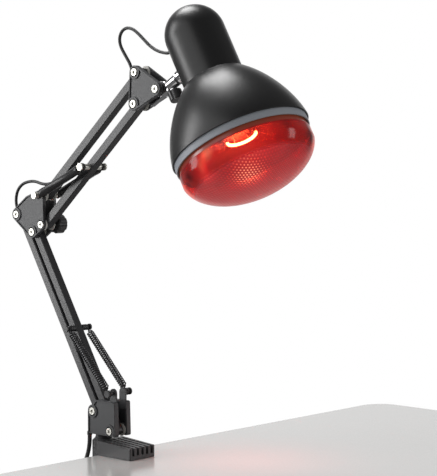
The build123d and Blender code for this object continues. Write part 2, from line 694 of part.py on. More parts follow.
def bar(start, end):
    angle = math.degrees(math.atan2(end[1] - start[1], end[0] - start[0]))
    half = TUBE / 2
    tube = slab(link(start, end, half), -half, half)
    ends = tube.edges().group_by(Axis.Y)
    tube = chamfer(ends[0] + ends[-1], TUBE_EDGE)
    room = link(step(start, TUBE_PLUG, angle), step(end, -TUBE_PLUG, angle), half - TUBE_WALL)
    tube -= slab(room, TUBE_WALL - half, half - TUBE_WALL)
    for point in (start, end):
        tube -= rod(point, BUSH_RADIUS + RUNNING, -half, half)
    return tube


def lower_left_bar():
    tube = bar(BASE_A, ELBOW_A) - routed(BASE_LEAD_ROUTE[3:], LEAD_RADIUS + LEAD_ROOM)
    return tube - routed(ELBOW_LEAD_ROUTE[:6], LEAD_RADIUS + LEAD_ROOM)


def lower_right_bar():
    return bar(BASE_B, ELBOW_B) - rod(LOWER_PIN, LOWER_PIN_RADIUS + SEAT, -TUBE, TUBE)


def upper_bottom_bar():
    return bar(ELBOW_C, HEAD_B) - rod(UPPER_PIN, BOLT_RADIUS + SEAT, -TUBE, TUBE)


def upper_top_bar():
    tube = bar(ELBOW_D, HEAD_A) - routed(ELBOW_LEAD_ROUTE[11:], LEAD_RADIUS + LEAD_ROOM)
    return tube - routed(HEAD_LEAD_ROUTE[:5], LEAD_RADIUS + LEAD_ROOM)


def inner_lead(start, first, end, last, angle):
    x0, z0 = step(start, first + GAP, angle)
    x1, z1 = step(end, -last - GAP, angle)
    return straight((x0, 0, z0), (x1, 0, z1), LEAD_RADIUS)


def lower_inner_cable():
    return inner_lead(BASE_A, LEAD_PLUG, ELBOW_A, LEAD_PLUG, LOWER_ANGLE)


def upper_inner_cable():
    return inner_lead(ELBOW_D, 33, HEAD_A, LEAD_PLUG, UPPER_ANGLE)


# Springs

def eye(point, y, pin_radius):
    return Pos(point[0], y, point[1]) * Rot(90, 0, 0) * Torus(pin_radius + RUNNING + WIRE_RADIUS, WIRE_RADIUS)


def spring(start, start_pin, end, end_pin, y, radius, wall, neck):
    """A closely wound coil as a tube with a wire eye round a pin at each end."""
    angle = math.degrees(math.atan2(end[1] - start[1], end[0] - start[0]))

    def at(point, along):
        x, z = step(point, along, angle)
        return (x, y, z)

    coil = straight(at(start, neck), at(end, -neck), radius)
    coil -= straight(at(start, neck + wall), at(end, -neck - wall), radius - wall)
    coil += straight(at(start, start_pin + WIRE_RADIUS), at(start, neck + wall / 2), WIRE_RADIUS)
    coil += straight(at(end, -end_pin - WIRE_RADIUS), at(end, -neck - wall / 2), WIRE_RADIUS)
    return coil + eye(start, y, start_pin) + eye(end, y, end_pin)


def lower_spring_front():
    return spring(LOWER_PIN, LOWER_PIN_RADIUS, STUD, STUD_RADIUS, -LOWER_SPRING_OFFSET, LOWER_SPRING_RADIUS,
                  2 * WIRE_RADIUS, SPRING_NECK)


def lower_spring_back():
    return mirrored(lower_spring_front())


def cross_pin(point, radius, collars, end, head_radius):
    """A pin with a head at each end and thicker collars on both sides, each from one |y| to another."""
    half = rod(point, radius, -end, 0) + rod(point, head_radius, -end - PIN_HEAD, -end)
    for low, high in collars:
        half += rod(point, COLLAR_RADIUS, -high, -low)
    return half + mirrored(half)


def lower_spring_pin():
    collar = (TUBE / 2 + SEAT, LOWER_SPRING_OFFSET - WIRE_RADIUS - GAP)
    return cross_pin(LOWER_PIN, LOWER_PIN_RADIUS, [collar], LOWER_PIN_HALF, 2 * LOWER_PIN_RADIUS)


def spring_sleeve_front():
    start, end = ELBOW_D, UPPER_PIN
    angle = math.degrees(math.atan2(end[1] - start[1], end[0] - start[0]))
    y = -UPPER_SPRING_OFFSET

    def at(point, along):
        x, z = step(point, along, angle)
        return (x, y, z)

    bore = BOLT_RADIUS + RUNNING
    tube = straight(at(start, SLEEVE_EYE), at(end, -SLEEVE_EYE), SLEEVE_RADIUS)
    tube -= straight(at(start, SLEEVE_EYE + SLEEVE_WALL), at(end, -SLEEVE_EYE - SLEEVE_WALL),
                     SLEEVE_RADIUS - SLEEVE_WALL)
    for point, toward in ((start, SLEEVE_EYE), (end, -SLEEVE_EYE)):
        tube += slab(link(point, step(point, toward, angle), 2 * EYE_HALF), y - EYE_HALF, y + EYE_HALF)
        tube -= rod(point, bore, y - SLEEVE_RADIUS, y + SLEEVE_RADIUS)
    return tube


def spring_sleeve_back():
    return mirrored(spring_sleeve_front())


def upper_spring_pin():
    collar = (TUBE / 2 + SEAT, UPPER_SPRING_OFFSET - EYE_HALF - GAP)
    return cross_pin(UPPER_PIN, BOLT_RADIUS, [collar], UPPER_PIN_HALF, UPPER_PIN_HEAD_RADIUS)


def elbow_spring_pin():
    collars = [(PLATE_OUT + SEAT, UPPER_SPRING_OFFSET - EYE_HALF - GAP),
               (UPPER_SPRING_OFFSET + EYE_HALF + GAP, ELBOW_PIN_HALF)]
    return cross_pin(ELBOW_D, BOLT_RADIUS, collars, ELBOW_PIN_HALF, ELBOW_PIN_HEAD_RADIUS)


# Elbow bracket

def elbow_plate():
    middle = ((ELBOW_A[0] + ELBOW_D[0]) / 2, (ELBOW_A[1] + ELBOW_D[1]) / 2)
    slope = math.degrees(math.atan2(ELBOW_D[1] - ELBOW_A[1], ELBOW_D[0] - ELBOW_A[0]))
    bulge = step(middle, ELBOW_BULGE, slope + 90)
    low = (ELBOW_C[0] - ELBOW_TRIM_LOW, ELBOW_C[1])
    high = (ELBOW_D[0] - ELBOW_TRIM_HIGH, ELBOW_D[1] - ELBOW_TRIM_TOP)
    outline = offset(Polygon(ELBOW_A, ELBOW_B, low, high, bulge, align=None), PLATE_EDGE)
    bosses = [ELBOW_A, ELBOW_B, ELBOW_C, ELBOW_D]
    plate = tray_plate(outline, bosses, [ELBOW_A, ELBOW_B, ELBOW_C], PLATE_OUT)
    return plate - rod(ELBOW_D, BOLT_RADIUS + SEAT, -PLATE_OUT, 0)


def elbow_front_plate():
    return elbow_plate()


def elbow_back_plate():
    return mirrored(elbow_plate())


def elbow_bolts():
    seat = PLATE_OUT - HEAD_SUNK
    end = PLATE_OUT + GAP + KNOB
    tension = socket_head(ELBOW_C, -seat) + rod(ELBOW_C, BOLT_RADIUS, -seat, end)
    return bolt_and_nut(ELBOW_A, PLATE_OUT, PLATE_OUT) + bolt_and_nut(ELBOW_B, PLATE_OUT, PLATE_OUT) + [tension]


def elbow_bushes():
    rings = bush_and_washers(ELBOW_A, BOLT_RADIUS) + bush_and_washers(ELBOW_B, BOLT_RADIUS)
    rings += bush_and_washers(ELBOW_C, BOLT_RADIUS, TENSION_WASHER_RADIUS)
    return rings + bush_and_washers(ELBOW_D, BOLT_RADIUS)


def tension_knob():
    knob = lobed_knob(KNOB_RADIUS, KNOB, 7, BOLT_RADIUS + RUNNING)
    return Pos(ELBOW_C[0], PLATE_OUT + GAP, ELBOW_C[1]) * Rot(-90, 0, 0) * knob


def elbow_cable():
    return routed(ELBOW_LEAD_ROUTE, LEAD_RADIUS)


# Head bracket

def head_plate(out):
    outline = offset(Polygon(HEAD_A, HEAD_B, TILT, align=None), PLATE_EDGE)
    return tray_plate(outline, [HEAD_A, HEAD_B], [HEAD_A, HEAD_B, TILT], out)


def head_front_plate():
    return head_plate(HEAD_OUT)


def head_back_plate():
    return mirrored(head_plate(HEAD_OUT_BACK))


def head_bolts():
    return [piece for p in (HEAD_A, HEAD_B, TILT) for piece in bolt_and_nut(p, HEAD_OUT, HEAD_OUT_BACK)]


def head_bushes():
    return bush_and_washers(HEAD_A, BOLT_RADIUS) + bush_and_washers(HEAD_B, BOLT_RADIUS)


def head_cable():
    return routed(HEAD_LEAD_ROUTE, LEAD_RADIUS)


# Neck; its frame has the tilt pivot as origin and the stem along +X

def along_x(radius, low_x, high_x, z=0.0):
    return Pos(low_x, 0, z) * Rot(0, 90, 0) * Cylinder(
        radius, high_x - low_x, align=(Align.CENTER, Align.CENTER, Align.MIN))


def head_knuckle():
    half = PLATE_IN - GAP
    body = rod((0, 0), HUB_RADIUS, -half, half)
    body += Pos(0, 0, -NECK_DROP) * Box(BARREL_START + 1, 2 * half, 2 * STEM_RADIUS + 1,
                                        align=(Align.MIN, Align.CENTER, Align.CENTER))
    body += Pos(0, 0, TAIL_TOP) * Box(TAIL_LENGTH, TAIL_WIDTH, TAIL, align=(Align.MAX, Align.CENTER, Align.MAX))
    barrel = chamfer(along_x(BARREL_RADIUS, BARREL_START, BARREL_END).edges(), 0.7)
    barrel += upright(KNOB_SCREW_RADIUS + 1.6, GAP - HEAD_KNOB_START, 0, HEAD_KNOB_ALONG)
    bore = along_x(STEM_RADIUS + RUNNING, BORE_START, BARREL_END)
    bore += upright(KNOB_SCREW_RADIUS + RUNNING, -HEAD_KNOB_START, 0, HEAD_KNOB_ALONG)
    bore += Pos(BARREL_START, 0, STEM_RADIUS) * Box(30, 1.2, 4, align=(Align.MIN, Align.CENTER, Align.MIN))
    body = body + Pos(0, 0, -NECK_DROP) * barrel - Pos(0, 0, -NECK_DROP) * bore
    return NECK_FRAME * (body - rod((0, 0), BOLT_RADIUS + RUNNING, -half, half))


def head_knob():
    knob = Pos(0, 0, -HEAD_KNOB_START - HEAD_KNOB) * lobed_knob(HEAD_KNOB_RADIUS, HEAD_KNOB, 5, 0.5)
    screw = upright(KNOB_SCREW_RADIUS, -HEAD_KNOB_START - HEAD_KNOB, -STEM_RADIUS - GAP)
    return STEM_FRAME * Pos(HEAD_KNOB_ALONG, 0, 0) * (knob + screw)


# Head; its frame has the centre of the shade's rim as origin and the bulb's axis along Z

def head_stem():
    wall = -COVER_RADIUS
    start = BORE_START + GAP - NECK_REACH
    stem = along_x(STEM_RADIUS, start, wall + COVER_WALL / 2)
    stem += along_x(STEM_THREAD_RADIUS, wall, PAD_START + BAND_SHEET + 4)
    collar = along_x(STEM_COLLAR_RADIUS, BARREL_END + GAP - NECK_REACH, wall + 1)
    collar = chamfer(collar.edges().sort_by(Axis.X)[0], 2)
    stem += collar
    stem = Pos(0, 0, NECK_HEIGHT) * stem
    outside = upright(COVER_RADIUS + SEAT, 0, 200) - along_x(STEM_THREAD_RADIUS, 2 * wall, 0, NECK_HEIGHT)
    return HEAD_FRAME * (stem - outside)


def shade():
    outer = Bezier((RIM_RADIUS, 0), RIM_PULL, SHOULDER_PULL, (SHADE_NECK_RADIUS, SHOULDER))
    w = SHADE_WALL
    neck = COVER_RADIUS - COVER_WALL - SEAT
    inner = Bezier((neck - w, SHOULDER - w), (SHOULDER_PULL[0] - 1.2 * w, SHOULDER_PULL[1] - w),
                   (RIM_PULL[0] - w, RIM_PULL[1]), (RIM_RADIUS - w, 0))
    top = Polyline((SHADE_NECK_RADIUS, SHOULDER), (neck, SHOULDER), (neck, SHOULDER + NECK_LAP),
                   (neck - w, SHOULDER + NECK_LAP), (neck - w, SHOULDER - w))
    rim = Line((RIM_RADIUS - w, 0), (RIM_RADIUS, 0))
    return HEAD_FRAME * revolved(outer, top, inner, rim)


def socket_cover():
    r, w, low, line = COVER_RADIUS, COVER_WALL, SHOULDER + SEAT, COVER_SPRING_LINE
    d = math.sqrt(0.5)
    outer = ThreePointArc((r, line), (r * d, line + r * d), (0, line + r))
    inner = ThreePointArc((0, line + r - w), ((r - w) * d, line + (r - w) * d), (r - w, line))
    cover = revolved(Line((r, low), (r, line)), outer, Line((0, line + r), (0, line + r - w)), inner,
                     Polyline((r - w, line), (r - w, low), (r, low)))
    cover -= along_x(STEM_THREAD_RADIUS + SEAT, -2 * r, 0, NECK_HEIGHT)
    return HEAD_FRAME * (cover - along_x(LEAD_GROMMET_RADIUS - LEAD_GROMMET_LIP, -2 * r, 0, LEAD_GROMMET_Z))


def shade_ring():
    tube = upright(RING_RADIUS, -RING_DROP, RING_RISE) - upright(RING_RADIUS - RING_WALL, -RING_DROP, RING_RISE)
    return HEAD_FRAME * tube


def bulb_lens():
    r, g = LENS_RADIUS, GLASS
    outer = Bezier((r, LENS_EDGE), LENS_SHOULDER, LENS_FLAT, (0, LENS_BOTTOM))
    inner = Bezier((0, LENS_BOTTOM + g), (LENS_FLAT[0] - g, LENS_FLAT[1] + g),
                   (LENS_SHOULDER[0] - g, LENS_SHOULDER[1] + g), (r - g, LENS_EDGE + 1))
    lens = revolved(Line((r, BAND_TOP - SEAT), (r, LENS_EDGE)), outer, Line((0, LENS_BOTTOM), (0, LENS_BOTTOM + g)),
                    inner, Polyline((r - g, LENS_EDGE + 1), (r - g, BAND_TOP - SEAT), (r, BAND_TOP - SEAT)))
    return HEAD_FRAME * lens


def bulb_reflector():
    r, g, n = REFLECTOR_RADIUS, GLASS, NECK_GLASS_RADIUS
    outer = Bezier((r, BAND_TOP), REFLECTOR_PULL_LOW, REFLECTOR_PULL_HIGH, (n, NECK_GLASS_TOP - 6))
    inner = Bezier((n - g, NECK_GLASS_TOP - 6), (REFLECTOR_PULL_HIGH[0] - g, REFLECTOR_PULL_HIGH[1] - g),
                   (REFLECTOR_PULL_LOW[0] - g, REFLECTOR_PULL_LOW[1] - g), (r - g, BAND_TOP))
    neck = Polyline((n, NECK_GLASS_TOP - 6), (n, NECK_GLASS_TOP), (n - g, NECK_GLASS_TOP), (n - g, NECK_GLASS_TOP - 6))
    return HEAD_FRAME * revolved(outer, neck, inner, Line((r - g, BAND_TOP), (r, BAND_TOP)))


def bulb_cap():
    skirt, cap, w = NECK_GLASS_RADIUS + SEAT, CAP_RADIUS, CAP_WALL
    top = CAP_TOP
    profile = turned(
        (skirt, SKIRT_BOTTOM), (skirt + SKIRT_WALL, SKIRT_BOTTOM), (skirt + SKIRT_WALL, SKIRT_TOP - 1),
        (cap, SKIRT_TOP + 1), (cap, top - 3), (CAP_TIP_RADIUS + 2, top), (CAP_TIP_RADIUS, top),
        (CAP_TIP_RADIUS, top + CAP_TIP), (0, top + CAP_TIP), (0, top - 2), (cap - w - 2, top - 4),
        (cap - w, top - 6), (cap - w, SKIRT_TOP), (skirt, SKIRT_TOP - 2))
    return HEAD_FRAME * profile


def bulb_filament():
    start = 90 + FILAMENT_ARC / 2
    arc = CenterArc((0, 0, FILAMENT_Z), FILAMENT_RADIUS, start, -FILAMENT_ARC)
    coil = sweep(Plane(arc @ 0, z_dir=arc % 0) * Circle(FILAMENT_WIRE), path=arc)
    wires = coil
    for end in (arc @ 0, arc @ 1):
        foot = (end.X * 0.2, end.Y * 0.2, NECK_GLASS_TOP - 12)
        wires += straight((end.X, end.Y, FILAMENT_Z), foot, FILAMENT_WIRE * 0.6)
    stem = upright(LEG_RADIUS, NECK_GLASS_TOP - 14, NECK_GLASS_TOP)
    flare = upright(NECK_GLASS_RADIUS - GLASS - SEAT, NECK_GLASS_TOP - GLASS, NECK_GLASS_TOP)
    return HEAD_FRAME * (wires + stem + flare)


def lamp_holder():
    bore = CAP_RADIUS + RUNNING + CONTACT_WALL + SEAT
    r, low, top, floor = HOLDER_RADIUS, HOLDER_BOTTOM, HOLDER_TOP, HOLDER_FLOOR
    body = turned((bore, low), (r, low), (r, top - 3), (r - 3, top), (0, top), (0, floor), (bore, floor))
    body -= upright(LEAD_RADIUS + GAP, top - LEAD_IN_HOLDER / 2 - SEAT, top, -LEAD_IN_HOLDER)
    return HEAD_FRAME * body


def holder_contacts():
    inner = CAP_RADIUS + RUNNING
    shell = turned((inner, HOLDER_BOTTOM + 4), (inner + CONTACT_WALL, HOLDER_BOTTOM + 4),
                   (inner + CONTACT_WALL, HOLDER_FLOOR - 4), (inner, HOLDER_FLOOR - 4))
    gap = CAP_TOP + CAP_TIP + SEAT
    tongue = Pos(0, 0, gap) * Box(14, 5, 0.6, align=(Align.CENTER, Align.CENTER, Align.MIN))
    tongue += Pos(6.5, 0, gap) * Box(1, 5, HOLDER_FLOOR - gap - SEAT, align=(Align.CENTER, Align.CENTER, Align.MIN))
    return [HEAD_FRAME * shell, HEAD_FRAME * tongue]


def holder_band():
    inner = HOLDER_RADIUS + SEAT
    outer = inner + BAND_SHEET
    low, top = NECK_HEIGHT - BAND_HALF_HEIGHT, NECK_HEIGHT + BAND_HALF_HEIGHT
    band = upright(outer, low, top)
    band += Pos(PAD_START, 0, NECK_HEIGHT) * Box(8, 12, 2 * BAND_HALF_HEIGHT, align=(Align.MIN, Align.CENTER, Align.CENTER))
    band -= upright(inner, low, top)
    return HEAD_FRAME * (band - along_x(STEM_THREAD_RADIUS + SEAT, -COVER_RADIUS, -inner, NECK_HEIGHT))


def lead_grommet():
    x = -COVER_RADIUS - LEAD_GROMMET
    body = along_x(LEAD_GROMMET_RADIUS, x, x + LEAD_GROMMET - SEAT, LEAD_GROMMET_Z)
    body += along_x(LEAD_GROMMET_RADIUS - LEAD_GROMMET_LIP - SEAT, x, x + LEAD_GROMMET + 2.4, LEAD_GROMMET_Z)
    return HEAD_FRAME * (body - along_x(LEAD_RADIUS + SEAT, 2 * x, 0, LEAD_GROMMET_Z))


def lamp_lead():
    x = -COVER_RADIUS - LEAD_GROMMET
    z = LEAD_GROMMET_Z
    route = [(x, 0, z), (x + 10, 0, z), (-LEAD_IN_HOLDER - 5, 0, z + 2), (-LEAD_IN_HOLDER, 0, z - 1),
             (-LEAD_IN_HOLDER, 0, HOLDER_TOP - LEAD_IN_HOLDER / 2)]
    return HEAD_FRAME * routed(route, LEAD_RADIUS)


NODES = [
    clamp_frame, post_bush, mains_cord, cord_coil, coil_tie, switch_shell_front, switch_shell_back, switch_rocker,
    plug_body, plug_pins, clamp_pad, clamp_screw, clamp_knob,
    base_post, base_front_plate, base_back_plate, base_bolts, base_bushes, spring_studs, cord_grommet, base_lead,
    lower_left_bar, lower_inner_cable, lower_right_bar, lower_spring_pin, lower_spring_front, lower_spring_back,
    elbow_front_plate, elbow_back_plate, elbow_bolts, elbow_bushes, elbow_spring_pin, elbow_cable, tension_knob,
    upper_bottom_bar, upper_spring_pin, spring_sleeve_front, spring_sleeve_back, upper_top_bar, upper_inner_cable,
    head_front_plate, head_back_plate, head_bolts, head_bushes, head_cable, head_knuckle, head_knob,
    head_stem, socket_cover, shade, shade_ring, lamp_holder, holder_contacts, holder_band,
    bulb_lens, bulb_reflector, bulb_cap, bulb_filament, lead_grommet, lamp_lead,
]

os.makedirs("parts", exist_ok=True)
for make in NODES:
    made = make()
    if isinstance(made, list):
        made = Compound(children=made)
    export_step(made, f"parts/{make.__name__}.step")

for name, route in (("base_lead", BASE_LEAD_ROUTE), ("elbow_cable", ELBOW_LEAD_ROUTE), ("head_cable", HEAD_LEAD_ROUTE),
                    ("mains_cord", CORD_ROUTE), ("mains_cord tail", TAIL_ROUTE)):
    print(name, "bend radii in mm:", [round(r, 1) for r in bend_radii(route)])
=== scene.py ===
import json
import math

import bpy
from mathutils import Matrix, Vector


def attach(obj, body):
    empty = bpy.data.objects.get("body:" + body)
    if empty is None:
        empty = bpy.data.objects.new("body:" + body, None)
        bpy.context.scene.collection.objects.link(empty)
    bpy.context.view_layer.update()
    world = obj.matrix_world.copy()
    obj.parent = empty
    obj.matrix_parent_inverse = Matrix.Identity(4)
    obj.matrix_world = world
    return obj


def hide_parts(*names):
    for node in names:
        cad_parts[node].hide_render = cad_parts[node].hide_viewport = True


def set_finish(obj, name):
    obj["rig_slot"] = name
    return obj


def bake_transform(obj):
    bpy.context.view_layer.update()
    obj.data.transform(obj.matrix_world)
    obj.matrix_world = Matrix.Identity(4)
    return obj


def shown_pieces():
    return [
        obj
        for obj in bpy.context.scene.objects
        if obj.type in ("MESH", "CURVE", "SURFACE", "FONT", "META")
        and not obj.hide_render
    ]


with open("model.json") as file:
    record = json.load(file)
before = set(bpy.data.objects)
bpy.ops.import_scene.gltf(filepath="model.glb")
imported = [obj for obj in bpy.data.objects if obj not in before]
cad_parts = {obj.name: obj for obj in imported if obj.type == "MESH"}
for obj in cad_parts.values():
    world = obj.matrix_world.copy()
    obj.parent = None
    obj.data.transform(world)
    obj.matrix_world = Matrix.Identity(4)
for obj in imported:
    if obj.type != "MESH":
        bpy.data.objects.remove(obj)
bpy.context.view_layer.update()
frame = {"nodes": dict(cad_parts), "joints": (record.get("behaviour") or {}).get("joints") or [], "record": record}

# Infrared heat lamp on a sprung swing arm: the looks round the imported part. The scene is in metres.
# The arm swings in the XZ plane and its pins lie along Y. The origin is under the clamp's upper
# jaw, straight below the axis of the arm's post. Sizes here are in mm, and mm() or MM turns them to
# metres; only the camera and the lights are given in metres.

MM = 0.001
AXIS_Y = Vector((0, 1, 0))
NODE_SHARP = 30                # degrees between faces from which a CAD node's edge stays sharp

# Camera, fitted to the photograph
CAMERA_PLACE = Vector((1.0868, -1.0065, 0.2811))
CAMERA_AZIMUTH = 42.9808
CAMERA_DIP = 3.0601
CAMERA_LENS = 129.65
CAMERA_SENSOR = 36

# The arm's plane
LOWER_ANGLE = 121.4
UPPER_ANGLE = 41.1
HEAD_TILT = 29.6
NECK_REACH = 58.5 * MM
NECK_HEIGHT = 87.9 * MM
NECK_DROP = 2.4 * MM

pivot = {j["name"]: Vector(j["pos_m"]) for j in frame["joints"] if "pos_m" in j}
BASE_A, BASE_B = pivot["lower_arm"], pivot["lower_link"]
ELBOW_A, ELBOW_C, ELBOW_D = pivot["elbow_level"], pivot["upper_link"], pivot["upper_arm"]
HEAD_A, TILT = pivot["head_level"], pivot["head_tilt"]


def mm(x, y, z):
    return Vector((x, y, z)) * MM


def step(start, length, degrees):
    """A point that far from start in the arm's plane, at that angle from +X toward +Z."""
    a = math.radians(degrees)
    return start + length * Vector((math.cos(a), 0, math.sin(a)))


def beside(start, degrees, along, off):
    """A point that far along a bar from its pivot, and that far off the bar's axis, both in mm."""
    return step(step(start, along * MM, degrees), off * MM, degrees + 90)


RIM_CENTRE = step(step(TILT, NECK_REACH, HEAD_TILT), NECK_HEIGHT + NECK_DROP, HEAD_TILT - 90)
HEAD_FRAME = Matrix.Translation(RIM_CENTRE) @ Matrix.Rotation(-math.radians(HEAD_TILT), 4, "Y")


def add_camera():
    camera = bpy.data.objects.new("camera", bpy.data.cameras.new("camera"))
    camera.location = CAMERA_PLACE
    camera.rotation_euler = [math.radians(v) for v in (90 - CAMERA_DIP, 0, CAMERA_AZIMUTH)]
    camera.data.sensor_fit = "HORIZONTAL"
    camera.data.sensor_width = CAMERA_SENSOR
    camera.data.lens = CAMERA_LENS
    bpy.context.scene.collection.objects.link(camera)
    bpy.context.scene.camera = camera


add_camera()


# Making pieces

def new_piece(name, data):
    piece = bpy.data.objects.new(name, data)
    bpy.context.scene.collection.objects.link(piece)
    return piece


def smooth(mesh, degrees=40):
    """Smooth shading that keeps the edges sharper than this."""
    mesh.polygons.foreach_set("use_smooth", [True] * len(mesh.polygons))
    mesh.set_sharp_from_angle(angle=math.radians(degrees))
    mesh.update()


def mesh_piece(name, points, faces, place=None, sharp=40):
    mesh = bpy.data.meshes.new(name)
    mesh.from_pydata([tuple(p) for p in points], [], faces)
    if place is not None:
        mesh.transform(place)
    mesh.update()
    smooth(mesh, sharp)
    return new_piece(name, mesh)


def lathe_points(outline, turns):
    """Rings round Z through the (radius, height) points of an outline; points on the axis stay single."""
    points, rings = [], []
    for r, z in outline:
        if r < 1e-9:
            points.append((0, 0, z))
            rings.append([len(points) - 1] * turns)
            continue
        rings.append(list(range(len(points), len(points) + turns)))
        points += [(r * math.cos(2 * math.pi * i / turns), r * math.sin(2 * math.pi * i / turns), z)
                   for i in range(turns)]
    return points, rings


def lathe(name, outline, place, turns=160, closed=True, sharp=40):
    """A turned piece; its outline is in mm, anticlockwise seen with the radius to the right."""
    outline = [(r * MM, z * MM) for r, z in outline]
    points, rings = lathe_points(outline, turns)
    pairs = list(zip(rings, rings[1:] + rings[:1])) if closed else list(zip(rings, rings[1:]))
    faces = []
    for a, b in pairs:
        for i in range(turns):
            j = (i + 1) % turns
            corners = list(dict.fromkeys((a[i], a[j], b[j], b[i])))
            if len(corners) > 2:
                faces.append(corners)
    return mesh_piece(name, points, faces, place, sharp)


def bezier(a, b, c, d, steps):
    """Points of a cubic curve, its first one left out."""
    made = []
    for i in range(1, steps + 1):
        t = i / steps
        made.append(tuple((1 - t) ** 3 * p + 3 * t * (1 - t) ** 2 * q + 3 * t * t * (1 - t) * r + t ** 3 * s
                          for p, q, r, s in zip(a, b, c, d)))
    return made


def arc(centre, radius, first, last, steps):
    """Points of a circle's arc, both ends in."""
    angles = [math.radians(first + (last - first) * i / steps) for i in range(steps + 1)]
    return [(centre[0] + radius * math.cos(a), centre[1] + radius * math.sin(a)) for a in angles]


def tube_rings(path, radius, sides):
    """Rings of a tube along a path, turned as little as possible from one to the next."""
    way = (path[1] - path[0]).normalized()
    across = way.orthogonal().normalized()
    points = []
    for i, p in enumerate(path):
        ahead = (path[min(i + 1, len(path) - 1)] - path[max(i - 1, 0)]).normalized()
        across = way.rotation_difference(ahead) @ across
        across = (across - across.dot(ahead) * ahead).normalized()
        up = ahead.cross(across)
        way = ahead
        turns = [2 * math.pi * k / sides for k in range(sides)]
        points += [p + radius * (math.cos(a) * across + math.sin(a) * up) for a in turns]
    return points


def tube(name, path, radius, sides=12, place=None):
    """A closed round bar along a path of points."""
    points = tube_rings(path, radius, sides)
    faces = []
    for i in range(len(path) - 1):
        for k in range(sides):
            n = (k + 1) % sides
            faces.append([i * sides + k, i * sides + n, (i + 1) * sides + n, (i + 1) * sides + k])
    faces.append(list(range(sides))[::-1])
    faces.append(list(range(len(points) - sides, len(points))))
    return mesh_piece(name, points, faces, place)


def read_line(name, points):
    """The points of the NURBS spline with these control points, as Blender gives them."""
    curve = bpy.data.curves.new(name, "CURVE")
    curve.dimensions = "3D"
    spline = curve.splines.new("NURBS")
    spline.points.add(len(points) - 1)
    for spot, p in zip(spline.points, points):
        spot.co = (*p, 1)
    spline.order_u = 3
    spline.use_endpoint_u = True
    curve.resolution_u = 10
    guide = new_piece(name, curve)
    bpy.context.view_layer.update()
    mesh = bpy.data.meshes.new_from_object(guide)
    line = [v.co.copy() for v in mesh.vertices]
    bpy.data.meshes.remove(mesh)
    bpy.data.objects.remove(guide)
    return line


def join(name, pieces):
    """One object of several, with the vertices where they are."""
    bpy.ops.object.select_all(action="DESELECT")
    for p in pieces:
        p.select_set(True)
    bpy.context.view_layer.objects.active = pieces[0]
    bpy.ops.object.join()
    pieces[0].name = name
    return pieces[0]


# Mains cord: from the base to its hank, through the switch, to the plug

CORD_RADIUS = 2.0 * MM
COIL_PLACE = mm(-26.0, 0, -68.0)
COIL_RADIUS = 24.0
COIL_STEP = 30                 # degrees between two control points of a turn
COIL_SLIDE = 60                # degrees in which a turn moves over to its next place
COIL_SPREAD = 1.035            # control points over turn, as the spline cuts inside them
CORD_EXIT = mm(-9.9, -8.4, 15.4)
# places of the turns in the hank's round section, to the side and outward, in their order
COIL_PLACES = [
    (-4, 3.46), (-6, 0), (-4, -3.46), (0, -3.46), (4, -3.46),
    (6, 0), (2, 0), (-2, 0), (0, 3.46), (4, 3.46),
]
CORD_TO_COIL = [
    CORD_EXIT,
    mm(-9.9, -8.4, 9.0),
    mm(-10.8, -9.2, 0.0),
    mm(-12.6, -11.4, -9.5),
    mm(-15.6, -15.2, -19.0),
    mm(-19.4, -19.4, -28.5),
    mm(-23.4, -23.0, -38.2),
    mm(-26.9, -25.8, -48.2),
    mm(-29.2, -27.2, -58.2),
]
SWITCH_X = -26.0
SWITCH_Y = 25.0
SWITCH_TOP = -112.5
SWITCH_LENGTH = 56.0
PLUG_TOP = -186.5
COIL_TO_PLUG = [
    mm(-22.5, 8.3, -94.8),
    mm(-24.1, 15.8, -95.9),
    mm(-25.4, 21.8, -100.5),
    mm(SWITCH_X, SWITCH_Y, -107.0),
    mm(SWITCH_X, SWITCH_Y, -114.3),
    mm(SWITCH_X, SWITCH_Y, -140.0),
    mm(SWITCH_X, SWITCH_Y, PLUG_TOP),
]


def coil_points():
    """Control points of the turns: each keeps its place, then slides over to the next one's."""
    points = []
    last = 360 * (len(COIL_PLACES) - 1) + 90
    for degrees in range(0, last + 1, COIL_STEP):
        turn, part = divmod(degrees, 360)
        side, out = COIL_PLACES[turn]
        if part > 360 - COIL_SLIDE:
            share = (part - 360 + COIL_SLIDE) / COIL_SLIDE
            next_side, next_out = COIL_PLACES[turn + 1]
            side += share * (next_side - side)
            out += share * (next_out - out)
        a = math.radians(degrees)
        r = COIL_SPREAD * (COIL_RADIUS + out)
        points.append(COIL_PLACE + mm(side, -r * math.cos(a), -r * math.sin(a)))
    return points


cord_line = read_line("cord_line", CORD_TO_COIL + coil_points() + COIL_TO_PLUG)
mains_cord = tube("mains_cord_run", cord_line, CORD_RADIUS, sides=14)
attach(mains_cord, "clamp")
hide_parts("mains_cord", "cord_coil")
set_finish(mains_cord, "cord_black")

RIBS = 4
RIB_CUT = 0.3                  # depth of the cuts between the ribs, less toward the narrow end
RIB_END = 0.55                 # a rib's end and its cut's end, as shares of the pitch
CUT_END = 0.75
RELIEF_ROOM = 0.02
RELIEF_WALL = 0.1


def strain_relief(name, place, up, wide, narrow, length):
    """A ribbed sleeve that narrows along the cord; up is 1 or -1."""
    bore = CORD_RADIUS / MM + RELIEF_ROOM
    outline = [(bore, 0), (wide, 0)]
    for i in range(RIBS):
        t0, t1, t2 = i / RIBS, (i + RIB_END) / RIBS, (i + CUT_END) / RIBS
        for t, cut in ((t0, 0), (t1, 0), (t1 + 0.02, RIB_CUT), (t2, RIB_CUT)):
            r = wide + (narrow - wide) * t - cut * (1 - 0.6 * t)
            outline.append((max(r, CORD_RADIUS / MM + RELIEF_WALL), length * t))
    outline += [(narrow, length), (bore, length)]
    if up < 0:
        outline = [(r, -z) for r, z in outline][::-1]
    piece = lathe(name, outline, Matrix.Translation(place), turns=40)
    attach(piece, "clamp")
    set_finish(piece, "cord_black")
    return piece


